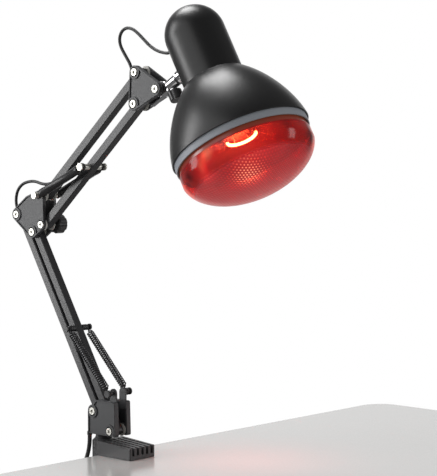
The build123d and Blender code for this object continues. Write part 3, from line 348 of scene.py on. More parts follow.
reliefs = [
    strain_relief("relief_switch_in", mm(SWITCH_X, SWITCH_Y, SWITCH_TOP), 1, 3.8, 2.3, 7),
    strain_relief("relief_switch_out", mm(SWITCH_X, SWITCH_Y, SWITCH_TOP - SWITCH_LENGTH), -1, 3.8, 2.3, 7),
    strain_relief("relief_plug", mm(SWITCH_X, SWITCH_Y, PLUG_TOP), 1, 4.0, 2.4, 9),
]

# Leads of the arm: loops over the joints they pass, in as many pieces as joints

LEAD_RADIUS = 1.5 * MM
BASE_LEAD = [
    mm(-9.9, -8.4, 15.7),
    mm(-9.9, -8.4, 21.0),
    mm(-8.9, -5.4, 26.5),
    mm(-8.4, -1.4, 31.2),
    beside(BASE_A, LOWER_ANGLE, 0, 4.9),
    beside(BASE_A, LOWER_ANGLE, 6.5, 4.2),
    beside(BASE_A, LOWER_ANGLE, 13, 1.6),
    beside(BASE_A, LOWER_ANGLE, 20, 0),
    beside(BASE_A, LOWER_ANGLE, 27, 0),
]
ELBOW_LEAD = [
    beside(ELBOW_A, LOWER_ANGLE, -27, 0),
    beside(ELBOW_A, LOWER_ANGLE, -19, 0),
    beside(ELBOW_A, LOWER_ANGLE, -12, 1.9),
    beside(ELBOW_A, LOWER_ANGLE, -5, 4.6),
    beside(ELBOW_A, LOWER_ANGLE, 2, 5.2),
    beside(ELBOW_A, LOWER_ANGLE, 9.5, 4.6),
    mm(-126.4, 0, 235.2),
    mm(-123.9, 0, 244.7),
    mm(-116.6, 0, 251.2),
    mm(-107.0, 0, 253.9),
    mm(-96.5, 0, 254.4),
    mm(-86.0, 0, 251.6),
    beside(ELBOW_D, UPPER_ANGLE, 7.5, 7.4),
    beside(ELBOW_D, UPPER_ANGLE, 15.5, 3.4),
    beside(ELBOW_D, UPPER_ANGLE, 24, 0.4),
    beside(ELBOW_D, UPPER_ANGLE, 33, 0),
]
LEAD_HOLE = HEAD_FRAME @ mm(-28.9, 0, 113.3)
HEAD_LEAD = [
    beside(HEAD_A, UPPER_ANGLE, -27, 0),
    beside(HEAD_A, UPPER_ANGLE, -19, 0.2),
    beside(HEAD_A, UPPER_ANGLE, -13, 3.0),
    beside(HEAD_A, UPPER_ANGLE, -9, 7.8),
    mm(38.4, 0, 363.0),
    mm(31.6, 0, 371.6),
    mm(24.9, 0, 380.6),
    mm(23.7, 0, 388.2),
    mm(27.1, 0, 394.3),
    mm(33.8, 0, 397.0),
    mm(41.5, 0, 395.4),
    mm(48.4, 0, 391.0),
    mm(54.5, 0, 386.2),
    mm(63.5, 0, 378.9),
    mm(73.0, 0, 374.0),
    mm(81.6, 0, 371.8),
    step(LEAD_HOLE, -6 * MM, HEAD_TILT),
    step(LEAD_HOLE, -0.3 * MM, HEAD_TILT),
]


def bending_lead(name, points, node, spans):
    """A lead in as many pieces as joints it bends over. A span is (name, body, next body, the point where
    it leaves the one body, the point where it is with the next); the line is cut there."""
    line = read_line(name, points)
    made, first = [], 0
    for label, a, b, start, end in spans:
        nearest = min(range(len(line)), key=lambda i: (line[i] - end).length)
        last = len(line) - 1 if label == spans[-1][0] else nearest
        part = line[first:last + 1]
        piece = tube(f"{name}_{label}", part, LEAD_RADIUS, sides=16)
        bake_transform(piece)
        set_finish(piece, "cord_black")
        made.append((piece, part))
        first = last
    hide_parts(node)
    return made


bending_lead("base_lead_run", BASE_LEAD, "base_lead", [
    ("in", "base", "lower_left", BASE_LEAD[3], BASE_LEAD[7])])
elbow_lead = bending_lead("elbow_lead", ELBOW_LEAD, "elbow_cable", [
    ("low", "lower_left", "elbow", ELBOW_LEAD[4], ELBOW_LEAD[9]),
    ("high", "elbow", "upper_top", ELBOW_LEAD[10], ELBOW_LEAD[14])])
head_lead = bending_lead("head_lead", HEAD_LEAD, "head_cable", [
    ("low", "upper_top", "head_bracket", HEAD_LEAD[4], HEAD_LEAD[8]),
    ("top", "head_bracket", "knuckle", HEAD_LEAD[8], HEAD_LEAD[12]),
    ("high", "knuckle", "head", HEAD_LEAD[12], HEAD_LEAD[15])])


# Springs of the lower arm: open coils with an eye round the pin at each end

WIRE_RADIUS = 0.7
LOWER_SPRING_RADIUS = 3.7
LOWER_SPRING_OFFSET = 11.3
SPRING_NECK = 5.0
STUD = mm(20.6, 0, 58.0)
STUD_RADIUS = 2.0
LOWER_PIN = beside(BASE_B, LOWER_ANGLE, 107.1, -1.5)
LOWER_PIN_RADIUS = 1.5
COIL_PITCH = 2.3
TURN_STEPS = 18
COIL_RUN_IN = 0.75             # turns in which a coil grows to its full width at each end
EYE_STEPS = 20
EYE_START = -150
EYE_ARC = 330


def spring_path(start, start_pin, end, end_pin, y):
    """The wire's centre line from one eye through the turns to the other eye."""
    along = (end - start).normalized()
    across = along.cross(AXIS_Y)
    middle = Vector((0, y * MM, 0))
    long = (end - start).length / MM
    turns = round((long - 2 * SPRING_NECK) / COIL_PITCH)
    radius = LOWER_SPRING_RADIUS - WIRE_RADIUS

    def eye_points(centre, pin, toward):
        r = pin + 0.05 + WIRE_RADIUS
        made = []
        for i in range(EYE_STEPS + 1):
            a = math.radians(EYE_START + EYE_ARC * i / EYE_STEPS)
            made.append(centre + middle + MM * r * (-math.cos(a) * toward + math.sin(a) * across))
        return made

    path = eye_points(start, start_pin, -along)[:0:-1]
    path.append(start + middle + MM * (start_pin + 1.4) * along)
    path.append(start + middle + MM * (SPRING_NECK - 0.4) * along)
    steps = turns * TURN_STEPS
    for i in range(steps + 1):
        a = 2 * math.pi * i / TURN_STEPS
        grown = min(1.0, i / (TURN_STEPS * COIL_RUN_IN), (steps - i) / (TURN_STEPS * COIL_RUN_IN))
        s = SPRING_NECK + (long - 2 * SPRING_NECK) * i / steps
        r = radius * max(grown, 0.05)
        path.append(start + middle + MM * (s * along + r * (math.cos(a) * across + math.sin(a) * AXIS_Y)))
    path.append(end + middle - MM * (SPRING_NECK - 0.4) * along)
    path.append(end + middle - MM * (end_pin + 1.4) * along)
    path += eye_points(end, end_pin, along)[1:]
    return path


for label, sign in (("front", -1), ("back", 1)):
    wire = spring_path(STUD, STUD_RADIUS, LOWER_PIN, LOWER_PIN_RADIUS, sign * LOWER_SPRING_OFFSET)
    coil = tube(f"coil_spring_{label}", wire, WIRE_RADIUS * MM, sides=8)
    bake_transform(coil)
    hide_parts(f"lower_spring_{label}")
    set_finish(coil, "spring_steel")

# Upper arm: the smooth sleeves of its springs, with a wire eye round the pin at each end

UPPER_PIN = beside(ELBOW_C, UPPER_ANGLE, 85.6, 0)
UPPER_SPRING_OFFSET = 12.2
SLEEVE_RADIUS = 4.3
SLEEVE_WALL = 0.9
SLEEVE_EYE = 5.0
SLEEVE_ROUND = 0.8
SLEEVE_CUFF = 5.0              # length of the thicker end
SLEEVE_STEP = 0.25
PIN_RADIUS = 2.0


def sleeve(label, sign):
    """A sleeve with rounded ends and a wire eye round the pin at each end."""
    start, end = ELBOW_D, UPPER_PIN
    along = (end - start).normalized()
    long = (end - start).length / MM
    aside = Vector((0, sign * UPPER_SPRING_OFFSET * MM, 0))
    place = Matrix.Translation(start + aside) @ along.to_track_quat("Z", "Y").to_matrix().to_4x4()
    low, high, r, e = SLEEVE_EYE, long - SLEEVE_EYE, SLEEVE_RADIUS, SLEEVE_ROUND
    cuff, slope_end, thin = SLEEVE_CUFF, SLEEVE_CUFF + 0.3, r - SLEEVE_STEP
    outline = [(0, low), (r - e, low)] + arc((r - e, low + e), e, -90, 0, 5)[1:]
    outline += [(r, low + cuff), (thin, low + slope_end), (thin, high - slope_end), (r, high - cuff)]
    outline += arc((r - e, high - e), e, 0, 90, 5) + [(0, high)]
    body = lathe(f"sleeve_{label}", outline, place, turns=48, closed=False)
    wire = (SLEEVE_RADIUS - SLEEVE_WALL) / 4
    eyes = []
    for n, (centre, way) in enumerate(((start, along), (end, -along))):
        ring = []
        spot = centre + aside
        r_eye = PIN_RADIUS + 0.1 + wire
        across = way.cross(AXIS_Y)
        for i in range(33):
            a = math.radians(-160 + 320 * i / 32)
            ring.append(spot + MM * r_eye * (-math.cos(a) * way + math.sin(a) * across))
        ring.append(spot + MM * (SLEEVE_EYE + 0.6) * way)
        eyes.append(tube(f"sleeve_eye_{label}_{n}", ring, wire * MM, sides=12))
    whole = join(f"sleeve_{label}", [body] + eyes)
    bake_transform(whole)
    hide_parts(f"spring_sleeve_{label}")
    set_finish(whole, "sleeve_plastic")


sleeve("front", -1)
sleeve("back", 1)

# Clamp screw: its thread, with the core inside

SCREW_X = 34.0
SCREW_RADIUS = 5.0
SCREW_CORE = 4.4
SCREW_PITCH = 2.0
SCREW_TOP = -30.3
SCREW_LOW = -89.0
PAD_SOCKET_TOP = -27.4
KNOB_LOW = -106.0
SCREW_STEPS = 32
# one pitch of the thread: radius and height
SCREW_SECTION = (
    (SCREW_CORE, 0.0),
    (SCREW_CORE, 0.45),
    (SCREW_RADIUS, 0.85),
    (SCREW_RADIUS, 1.15),
    (SCREW_CORE, 1.55),
)


def threaded_screw():
    """The clamp screw. Its thread runs out into the core at both ends."""
    steps = SCREW_STEPS
    turns = (SCREW_TOP - SCREW_LOW) / SCREW_PITCH
    points, faces = [], []
    count = int(turns * steps)
    for i in range(count + 1):
        a = 2 * math.pi * i / steps
        z = SCREW_LOW + (SCREW_TOP - SCREW_LOW - SCREW_PITCH) * i / count
        fade = min(1.0, i / steps, (count - i) / steps)
        for r, dz in SCREW_SECTION:
            out = SCREW_CORE - 0.05 + (r - SCREW_CORE + 0.05) * fade
            points.append(mm(SCREW_X + out * math.cos(a), out * math.sin(a), z + dz))
        if i:
            row = len(SCREW_SECTION)
            for k in range(row - 1):
                p = (i - 1) * row + k
                faces.append([p, p + row, p + row + 1, p + 1])
    thread = mesh_piece("screw_thread", points, faces, sharp=30)
    r, top, chamfer = SCREW_CORE, PAD_SOCKET_TOP, 0.6
    outline = [(0, KNOB_LOW), (r, KNOB_LOW), (r, top - chamfer), (r - chamfer, top), (0, top)]
    core = lathe("screw_core", outline, Matrix.Translation(mm(SCREW_X, 0, 0)), turns=64, closed=False)
    whole = join("threaded_screw", [thread, core])
    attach(whole, "screw")
    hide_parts("clamp_screw")
    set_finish(whole, "zinc")


threaded_screw()

# Head: shade, cover and ring; heights are in mm above the shade's rim

SHADE_WALL = 1.0
RIM_RADIUS = 63.0
SHADE_NECK_RADIUS = 28.8
SHOULDER = 64.0
SHOULDER_PULL = (49.3, 45.5)
RIM_PULL = (61.2, 17.6)
NECK_LAP = 7.0
COVER_RADIUS = 27.3
COVER_SPRING_LINE = 110.0
RING_RADIUS = 61.4
RING_DROP = 6.3
RING_RISE = 3.5
RING_WALL = 1.0
EDGE_CHAMFER = 0.3


def make_shade():
    """The bell of the shade, from its rim up to the neck that goes inside the cover."""
    w, neck = SHADE_WALL, COVER_RADIUS - SHADE_WALL - 0.02
    outline = [(RIM_RADIUS, 0.4)]
    outline += bezier((RIM_RADIUS, 0.4), RIM_PULL, SHOULDER_PULL, (SHADE_NECK_RADIUS, SHOULDER - 0.5), 56)
    outline += [(SHADE_NECK_RADIUS - 0.4, SHOULDER), (neck, SHOULDER), (neck, SHOULDER + NECK_LAP),
                (neck - w, SHOULDER + NECK_LAP)]
    outline += bezier((neck - w, SHOULDER - w), (SHOULDER_PULL[0] - 1.2 * w, SHOULDER_PULL[1] - w),
                      (RIM_PULL[0] - w, RIM_PULL[1]), (RIM_RADIUS - w, 0), 40)
    outline += [(RIM_RADIUS - 0.4, 0)]
    return lathe("bell_shade", outline, HEAD_FRAME, turns=256)


shade = make_shade()
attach(shade, "head")
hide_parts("shade")
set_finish(shade, "shade_metal")


def make_cover():
    """The domed cover over the lamp holder."""
    r, low, line = COVER_RADIUS, SHOULDER + 0.02, COVER_SPRING_LINE
    outline = [(r - EDGE_CHAMFER, low), (r, low + EDGE_CHAMFER), (r, line)]
    outline += arc((0, line), r, 0, 90, 40)[1:]
    outline += arc((0, line), r - SHADE_WALL, 90, 0, 30)
    outline += [(r - SHADE_WALL, low)]
    return lathe("neck_cover", outline, HEAD_FRAME, turns=192)


cover = make_cover()
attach(cover, "head")
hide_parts("socket_cover")
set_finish(cover, "shade_metal")


def make_ring():
    """The ring inside the shade's rim."""
    r, low, inner = RING_RADIUS, -RING_DROP, RING_RADIUS - RING_WALL
    outline = [(r - EDGE_CHAMFER, low), (r, low + EDGE_CHAMFER), (r, RING_RISE)]
    outline += [(inner, RING_RISE), (inner, low)]
    return lathe("rim_ring", outline, HEAD_FRAME, turns=256)


ring = make_ring()
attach(ring, "head")
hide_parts("shade_ring")
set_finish(ring, "ring_grey")

# Bulb: lens with a clear shoulder and a stippled face, and mirrored back

LENS_RADIUS = 60.5
LENS_EDGE = -19.5
LENS_BOTTOM = -48.0
LENS_SHOULDER = (56.0, -36.0)
LENS_FLAT = (30.0, -48.0)
GLASS = 2.4
BAND_TOP = -11.0
REFLECTOR_RADIUS = 60.0
REFLECTOR_PULL_LOW = (55.0, 20.0)
REFLECTOR_PULL_HIGH = (34.0, 50.0)
NECK_GLASS_RADIUS = 17.0
NECK_GLASS_TOP = 62.0
RED_BAND_TOP = 10.0            # below this height the outside of the bulb's back is red like the lens
LENS_TURNS = 480
DIMPLE_PITCH = 2.9
DIMPLE_DEPTH = 0.22
DIMPLE_SHARE = 0.42            # a dimple's radius as a share of the pitch
STIPPLE_TOP = -28.0            # the face is stippled below this height
CLEAR_FADE = 3.0
# Light inside the glass, and dark streaks: (place, reach, strength). The streaks and the last two lights
# stand for reflections that the photo shows.
LENS_GLOW_AND_HIGHLIGHTS = [
    ((36, -44, -18), 20.0, 0.50),
    ((-4, -55, -27), 9.0, 0.42),
    ((19, -31, -41), 12.0, 0.20),
    ((50, -22, -24), 16.0, 0.16),
    # the next two spots are painted highlights
    ((9, -59, -14), 8.5, 0.95),
    ((-2, -59, -19), 6.0, 0.45),
]
# painted dark reflections on the glass: (place, reach, strength)
LENS_DARK_REFLECTIONS = [
    ((53, 24, -24), 10.0, 0.95),
    ((-21, -57, -20), 5.0, 0.85),
    ((-30, -52, -24), 3.5, 0.7),
    ((44, -36, -13), 5.0, 0.8),
    ((25, -55, -12), 4.0, 0.8),
    ((56, -8, -14), 6.0, 0.7),
]
LENS_REST = 0.17               # light where no spot is
BETWEEN_DIMPLES = 0.82         # share of the light between the dimples, and what their depth adds to it
DIMPLE_GAIN = 0.45
# painted glints: the dimples in this patch get extra light
GLINT_PATCH = ((19, -31, -41), 14.0)  # place and reach of the patch in which the dimples sparkle
GLINT_GAIN = 1.5


def dimple(x, y):
    """How deep in a dimple of the staggered pattern a point of the face is, 0 to 1; x and y in mm."""
    row = DIMPLE_PITCH * math.sqrt(0.75)
    gap = DIMPLE_PITCH
    n = round(y / row)
    for k in (n - 1, n, n + 1):
        shift = 0.5 * DIMPLE_PITCH * (k % 2)
        px = DIMPLE_PITCH * round((x - shift) / DIMPLE_PITCH) + shift
        gap = min(gap, math.hypot(x - px, y - k * row))
    return max(0.0, 1 - (gap / (DIMPLE_SHARE * DIMPLE_PITCH)) ** 2)


def near(spot, place, reach):
    """A bell curve round a place, 1 in its middle."""
    return math.exp(-((Vector(spot) - Vector(place)).length / reach) ** 2)


def lens_light(spot, depth):
    """How much light comes out of the glass at a point of its outside: the lamp's glow, with painted
    highlights from the last two spots and painted glints on the dimples of the patch.
    """
    lit = LENS_REST
    for place, reach, strength in LENS_GLOW_AND_HIGHLIGHTS:
        lit += strength * near(spot, place, reach)
    painted_glint = near(spot, *GLINT_PATCH)
    return lit * (BETWEEN_DIMPLES + DIMPLE_GAIN * depth) + GLINT_GAIN * painted_glint * depth ** 3


def painted_dark_reflection(spot):
    """How much painted dark reflection a point of the glass has, 0 to 1."""
    dark = 0.0
    for place, reach, strength in LENS_DARK_REFLECTIONS:
        dark = max(dark, strength * near(spot, place, reach))
    return dark


def make_lens():
    """The lens as a thick shell, with dimples in its outside. Its points carry the light (the lamp's glow
    with painted highlights and glints), the painted dark reflections and the clearness that its material reads."""
    turns, r, g = LENS_TURNS, LENS_RADIUS, GLASS
    outer = [(r, BAND_TOP), (r, (BAND_TOP + LENS_EDGE) / 2), (r, LENS_EDGE)]
    outer += bezier((r, LENS_EDGE), LENS_SHOULDER, LENS_FLAT, (0, LENS_BOTTOM), 120)
    flat_pull = (LENS_FLAT[0] - g, LENS_FLAT[1] + g)
    shoulder_pull = (LENS_SHOULDER[0] - g, LENS_SHOULDER[1] + g)
    inner = [(0, LENS_BOTTOM + g)]
    inner += bezier(inner[0], flat_pull, shoulder_pull, (r - g, LENS_EDGE + 1), 40)
    inner += [(r - g, BAND_TOP)]
    count = len(outer)
    points, rings = lathe_points([(a * MM, b * MM) for a, b in outer + inner], turns)
    depth = [0.0] * len(points)
    light = [LENS_REST] * len(points)
    dark = [0.0] * len(points)
    clear = [1.0] * len(points)
    for ring_points in rings[:count]:
        for i in set(ring_points):
            x, y, z = [v / MM for v in points[i]]
            clear[i] = min(1.0, max(0.0, (z - STIPPLE_TOP) / CLEAR_FADE + 1))
            depth[i] = dimple(x, y) * (1 - clear[i])
            light[i] = lens_light((x, y, z), depth[i])
            dark[i] = painted_dark_reflection((x, y, z))
            points[i] = mm(x, y, z + DIMPLE_DEPTH * depth[i])
    faces = []
    for a, b in zip(rings, rings[1:] + rings[:1]):
        for i in range(turns):
            j = (i + 1) % turns
            corners = list(dict.fromkeys((a[i], b[i], b[j], a[j])))
            if len(corners) > 2:
                faces.append(corners)
    piece = mesh_piece("stippled_lens", points, faces, HEAD_FRAME, sharp=60)
    for label, values in (("light", light), ("dark", dark), ("clear", clear)):
        layer = piece.data.attributes.new(label, "FLOAT", "POINT")
        layer.data.foreach_set("value", values)
    return piece


lens = make_lens()
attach(lens, "head")
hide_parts("bulb_lens")
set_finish(lens, "red_glass")


def make_reflector():
    """The bulb's back as a thick shell. Its points carry whether they are on the red band outside."""
    r, g, n, top, neck = REFLECTOR_RADIUS, GLASS, NECK_GLASS_RADIUS, NECK_GLASS_TOP, NECK_GLASS_TOP - 6
    low_pull, high_pull = REFLECTOR_PULL_LOW, REFLECTOR_PULL_HIGH
    inner_low, inner_high = (low_pull[0] - g, low_pull[1] - g), (high_pull[0] - g, high_pull[1] - g)
    outline = [(r, BAND_TOP)] + bezier((r, BAND_TOP), low_pull, high_pull, (n, neck), 48)
    outline += [(n, top), (n - g, top), (n - g, neck)]
    outline += bezier((n - g, neck), inner_high, inner_low, (r - g, BAND_TOP), 48)
    piece = lathe("mirror_back", outline, HEAD_FRAME, turns=192)
    back_to_head = HEAD_FRAME.inverted()
    rim = []
    for vertex in piece.data.vertices:
        x, y, z = (back_to_head @ vertex.co) / MM
        rim.append(1.0 if z < RED_BAND_TOP and math.hypot(x, y) > r - 0.6 * g else 0.0)
    layer = piece.data.attributes.new("rim", "FLOAT", "POINT")
    layer.data.foreach_set("value", rim)
    return piece


reflector = make_reflector()
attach(reflector, "head")
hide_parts("bulb_reflector")
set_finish(reflector, "mirror_glass")

# Filament: a coiled wire bent to an arc, on four legs that stand on the glass foot

FILAMENT_Z = 6.0
FILAMENT_RADIUS = 13.2
FILAMENT_CENTRE = (0.1, 4.0)
FILAMENT_START = 222.0         # degrees round the head's axis
FILAMENT_ARC = 185.0
FILAMENT_LOOPS = 46
LOOP_STEPS = 10
LEGS = 4
LEG_WIRE = 0.4
FILAMENT_WIRE = 0.55
FILAMENT_COIL = 0.8


def make_filament():
    """The coiled wire's arc."""
    path = []
    steps = FILAMENT_LOOPS * LOOP_STEPS
    for i in range(steps + 1):
        t = i / steps
        a = math.radians(FILAMENT_START - FILAMENT_ARC * t)
        b = 2 * math.pi * i / LOOP_STEPS
        rr = FILAMENT_RADIUS + FILAMENT_COIL * math.cos(b)
        path.append(mm(FILAMENT_CENTRE[0] + rr * math.cos(a), FILAMENT_CENTRE[1] + rr * math.sin(a),
                       FILAMENT_Z + FILAMENT_COIL * math.sin(b)))
    return tube("filament_coil", path, FILAMENT_WIRE * MM, sides=6, place=HEAD_FRAME)


filament = make_filament()
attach(filament, "head")
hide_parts("bulb_filament")
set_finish(filament, "filament")


def make_foot():
    """The filament's legs and the glass foot in the bulb's neck."""
    parts = []
    neck = NECK_GLASS_TOP
    foot_z = neck - 12
    for n in range(LEGS):
        a = math.radians(FILAMENT_START - FILAMENT_ARC * n / (LEGS - 1))
        top = mm(3.2 * math.cos(a), 3.2 * math.sin(a), foot_z)
        low = mm(FILAMENT_CENTRE[0] + FILAMENT_RADIUS * math.cos(a),
                 FILAMENT_CENTRE[1] + FILAMENT_RADIUS * math.sin(a), FILAMENT_Z)
        bend = mm(0.55 * FILAMENT_RADIUS * math.cos(a), 0.55 * FILAMENT_RADIUS * math.sin(a), FILAMENT_Z + 16)
        line = read_line("leg_line", [top, top - mm(0, 0, 8), bend, low])
        parts.append(tube(f"leg_{n}", line, LEG_WIRE * MM, sides=8))
    outline = [(0, foot_z - 3), (3.0, foot_z - 3), (4.4, foot_z + 1), (5.0, neck - 5)]
    outline += [(9.0, neck - 2.4), (14.5, neck - 1.6), (14.5, neck), (0, neck)]
    parts.append(lathe("foot", outline, Matrix.Identity(4), turns=48, closed=False))
    return join("bulb_foot", parts)


foot = make_foot()
foot.data.transform(HEAD_FRAME)
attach(foot, "head")
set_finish(foot, "filament")


# Materials

MIX_COLOURS = (6, 7)           # places of a colour Mix node's two colour inputs
MIX_RESULT = 2                 # and of its colour output
GRAIN_HEIGHT = 0.4 * MM
ROUGH_SPREAD = 0.04            # how far roughness goes up and down over a surface


def node_setter(tree):
    """A function that adds a node and sets the node's own properties."""
    def add(kind, **values):
        node = tree.nodes.new(kind)
        for key, value in values.items():
            setattr(node, key, value)
        return node
    return add


def new_material(name):
    """An empty node material, with the functions that add its nodes and links."""
    material = bpy.data.materials.new(name)
    material.use_nodes = True
    tree = material.node_tree
    tree.nodes.clear()
    return material, node_setter(tree), tree.links.new


def add_noise(add, link, scale, detail=2.0):
    """Noise that is fixed to the piece."""
    place = add("ShaderNodeTexCoord")
    noise = add("ShaderNodeTexNoise")
    noise.inputs["Scale"].default_value = scale
    noise.inputs["Detail"].default_value = detail
    link(place.outputs["Object"], noise.inputs["Vector"])
    return noise


def add_range(add, link, value, low, high):
    """A value from 0 to 1, turned to one from low to high."""
    node = add("ShaderNodeMapRange")
    node.inputs["To Min"].default_value = low
    node.inputs["To Max"].default_value = high
    link(value, node.inputs["Value"])
    return node


def add_colours(add, link, share, first, second):
    """A mix of two colours by a share."""
    node = add("ShaderNodeMix", data_type="RGBA")
    for socket, colour in zip(MIX_COLOURS, (first, second)):
        node.inputs[socket].default_value = (*colour, 1)
    link(share, node.inputs[0])
    return node.outputs[MIX_RESULT]


def add_blend(add, link, share, first, second):
    """A mix of two shaders by a share."""
    node = add("ShaderNodeMixShader")
    link(share, node.inputs[0])
    link(first.outputs[0], node.inputs[1])
    link(second.outputs[0], node.inputs[2])
    return node


def finish(name, colour, rough, metal=0.0, mottle=0.06, grain=700.0, bump=0.03, coat=0.0, coat_rough=0.2,
           specular=0.5):
    """A painted, plated or moulded surface. Its colour and roughness vary a little, with a fine grain."""
    material, add, link = new_material(name)
    out = add("ShaderNodeOutputMaterial")
    shader = add("ShaderNodeBsdfPrincipled")
    shader.inputs["Metallic"].default_value = metal
    shader.inputs["Coat Weight"].default_value = coat
    shader.inputs["Coat Roughness"].default_value = coat_rough
    shader.inputs["Specular IOR Level"].default_value = specular
    broad = add_noise(add, link, 45.0, 4.0)
    fine = add_noise(add, link, grain)
    darker = [c * (1 - mottle) for c in colour]
    lighter = [min(1.0, c * (1 + mottle)) for c in colour]
    link(add_colours(add, link, broad.outputs["Fac"], darker, lighter), shader.inputs["Base Color"])
    low, high = max(0.02, rough - ROUGH_SPREAD), min(1.0, rough + ROUGH_SPREAD)
    rough_range = add_range(add, link, fine.outputs["Fac"], low, high)
    rough_range.inputs["From Min"].default_value = 0.3
    rough_range.inputs["From Max"].default_value = 0.7
    link(rough_range.outputs["Result"], shader.inputs["Roughness"])
    relief = add("ShaderNodeBump")
    relief.inputs["Strength"].default_value = bump
    relief.inputs["Distance"].default_value = GRAIN_HEIGHT
    link(fine.outputs["Fac"], relief.inputs["Height"])
    link(relief.outputs["Normal"], shader.inputs["Normal"])
    link(shader.outputs["BSDF"], out.inputs["Surface"])
    return material


STIPPLED_ROUGH = 0.30
CLEAR_ROUGH = 0.13
STIPPLED_BODY = 0.80           # share of the glass that doesn't let light through
CLEAR_BODY = 0.40
GLASS_IOR = 1.5
GLASS_RED = (0.92, 0.09, 0.05)
BODY_REDS = (0.20, 0.003, 0.008), (0.34, 0.008, 0.016)
DARK_REFLECTION_RED = (0.075, 0.001, 0.003)
GLOW_RED = (1.0, 0.030, 0.034)
GLOW_ORANGE = (1.0, 0.36, 0.20)
SHEEN_PINK = (1.0, 0.90, 0.90)


def lens_glass():
    """Ruby glass: clear at the shoulder and stippled on the face, with the lamp's light in it. The mesh
    gives how clear it is, where dark reflections are painted on it, and how much light comes out, painted
    highlights and glints included. Only the outside is seen, so the inside lets all light through."""
    material, add, link = new_material("ruby_face")
    out = add("ShaderNodeOutputMaterial")
    light = add("ShaderNodeAttribute", attribute_name="light")
    clear = add("ShaderNodeAttribute", attribute_name="clear")
    dark_reflection = add("ShaderNodeAttribute", attribute_name="dark")
    noise = add_noise(add, link, 60.0)
    body = add("ShaderNodeBsdfPrincipled")
    body.inputs["Specular IOR Level"].default_value = 0.6
    body.inputs["Sheen Weight"].default_value = 0.9
    body.inputs["Sheen Roughness"].default_value = 0.35
    body.inputs["Sheen Tint"].default_value = (*SHEEN_PINK, 1)
    hot = add("ShaderNodeValToRGB")
    for element, position, colour in zip(hot.color_ramp.elements, (0.5, 1.0), (GLOW_RED, GLOW_ORANGE)):
        element.position = position
        element.color = (*colour, 1)
    link(light.outputs["Fac"], hot.inputs["Fac"])
    link(hot.outputs["Color"], body.inputs["Emission Color"])
    link(light.outputs["Fac"], body.inputs["Emission Strength"])
    link(add_colours(add, link, noise.outputs["Fac"], *BODY_REDS), body.inputs["Base Color"])
    rough = add_range(add, link, clear.outputs["Fac"], STIPPLED_ROUGH, CLEAR_ROUGH)
    link(rough.outputs["Result"], body.inputs["Roughness"])
    through = add("ShaderNodeBsdfTransparent")
    through.inputs["Color"].default_value = (*GLASS_RED, 1)
    share = add_range(add, link, clear.outputs["Fac"], STIPPLED_BODY, CLEAR_BODY)
    facing = add("ShaderNodeFresnel")
    facing.inputs["IOR"].default_value = GLASS_IOR
    both = add("ShaderNodeMath", operation="MAXIMUM")
    link(share.outputs["Result"], both.inputs[0])
    link(facing.outputs[0], both.inputs[1])
    outside = add_blend(add, link, both.outputs[0], through, body)
    # painted dark reflections: a dark red gloss mixed in by the mesh's dark attribute
    painted_reflection_shader = add("ShaderNodeBsdfPrincipled")
    painted_reflection_shader.inputs["Base Color"].default_value = (*DARK_REFLECTION_RED, 1)
    painted_reflection_shader.inputs["Roughness"].default_value = CLEAR_ROUGH
    with_painted_reflections = add_blend(add, link, dark_reflection.outputs["Fac"], outside, painted_reflection_shader)
    side = add("ShaderNodeNewGeometry")
    inside = add("ShaderNodeBsdfTransparent")
    mix = add_blend(add, link, side.outputs["Backfacing"], with_painted_reflections, inside)
    link(mix.outputs[0], out.inputs["Surface"])
    return material


SILVER = (0.62, 0.60, 0.58)
BAND_RED = (0.22, 0.003, 0.006)
BACK_GLOW = (1.0, 0.42, 0.20)
BACK_ROUGH = 0.12, 0.26
FILAMENT_LIGHT = HEAD_FRAME @ mm(0, 0, FILAMENT_Z)
LIT_WITHIN = 22 * MM           # the back is brightest within this distance of the filament
DARK_BEYOND = 55 * MM
DARK_LEVEL = 0.05
LIT_LEVEL = 1.1


def mirror_inside():
    """The bulb's silvered back, with the filament's light painted on it as glow: bright near the filament
    and dark away from it, with a red band outside.
    """
    material, add, link = new_material("silvered_back")
    out = add("ShaderNodeOutputMaterial")
    place = add("ShaderNodeTexCoord")
    noise = add_noise(add, link, 90.0)
    shader = add("ShaderNodeBsdfPrincipled")
    rough = add_range(add, link, noise.outputs["Fac"], *BACK_ROUGH)
    link(rough.outputs["Result"], shader.inputs["Roughness"])
    rim = add("ShaderNodeAttribute", attribute_name="rim")
    silver = add("ShaderNodeMath", operation="SUBTRACT")
    silver.inputs[0].default_value = 1.0
    link(rim.outputs["Fac"], silver.inputs[1])
    link(silver.outputs[0], shader.inputs["Metallic"])
    link(add_colours(add, link, rim.outputs["Fac"], SILVER, BAND_RED), shader.inputs["Base Color"])
    # painted light of the filament on the back, fading with the distance from it
    shader.inputs["Emission Color"].default_value = (*BACK_GLOW, 1)
    spot = add("ShaderNodeVectorMath", operation="DISTANCE")
    spot.inputs[1].default_value = FILAMENT_LIGHT
    link(place.outputs["Object"], spot.inputs[0])
    reach = add_range(add, link, spot.outputs["Value"], DARK_LEVEL, LIT_LEVEL)
    reach.interpolation_type = "SMOOTHSTEP"
    reach.inputs["From Min"].default_value = DARK_BEYOND
    reach.inputs["From Max"].default_value = LIT_WITHIN
    link(reach.outputs["Result"], shader.inputs["Emission Strength"])
    link(shader.outputs[0], out.inputs["Surface"])
    return material


def glowing(name, colour, strength):
    """Hot wire: the glow is a little uneven along it."""
    material, add, link = new_material(name)
    out = add("ShaderNodeOutputMaterial")
    light = add("ShaderNodeEmission")
    light.inputs["Color"].default_value = (*colour, 1)
    noise = add_noise(add, link, 160.0)
    level = add_range(add, link, noise.outputs["Fac"], 0.7 * strength, 1.3 * strength)
    link(level.outputs["Result"], light.inputs["Strength"])
    link(light.outputs[0], out.inputs["Surface"])
    return material


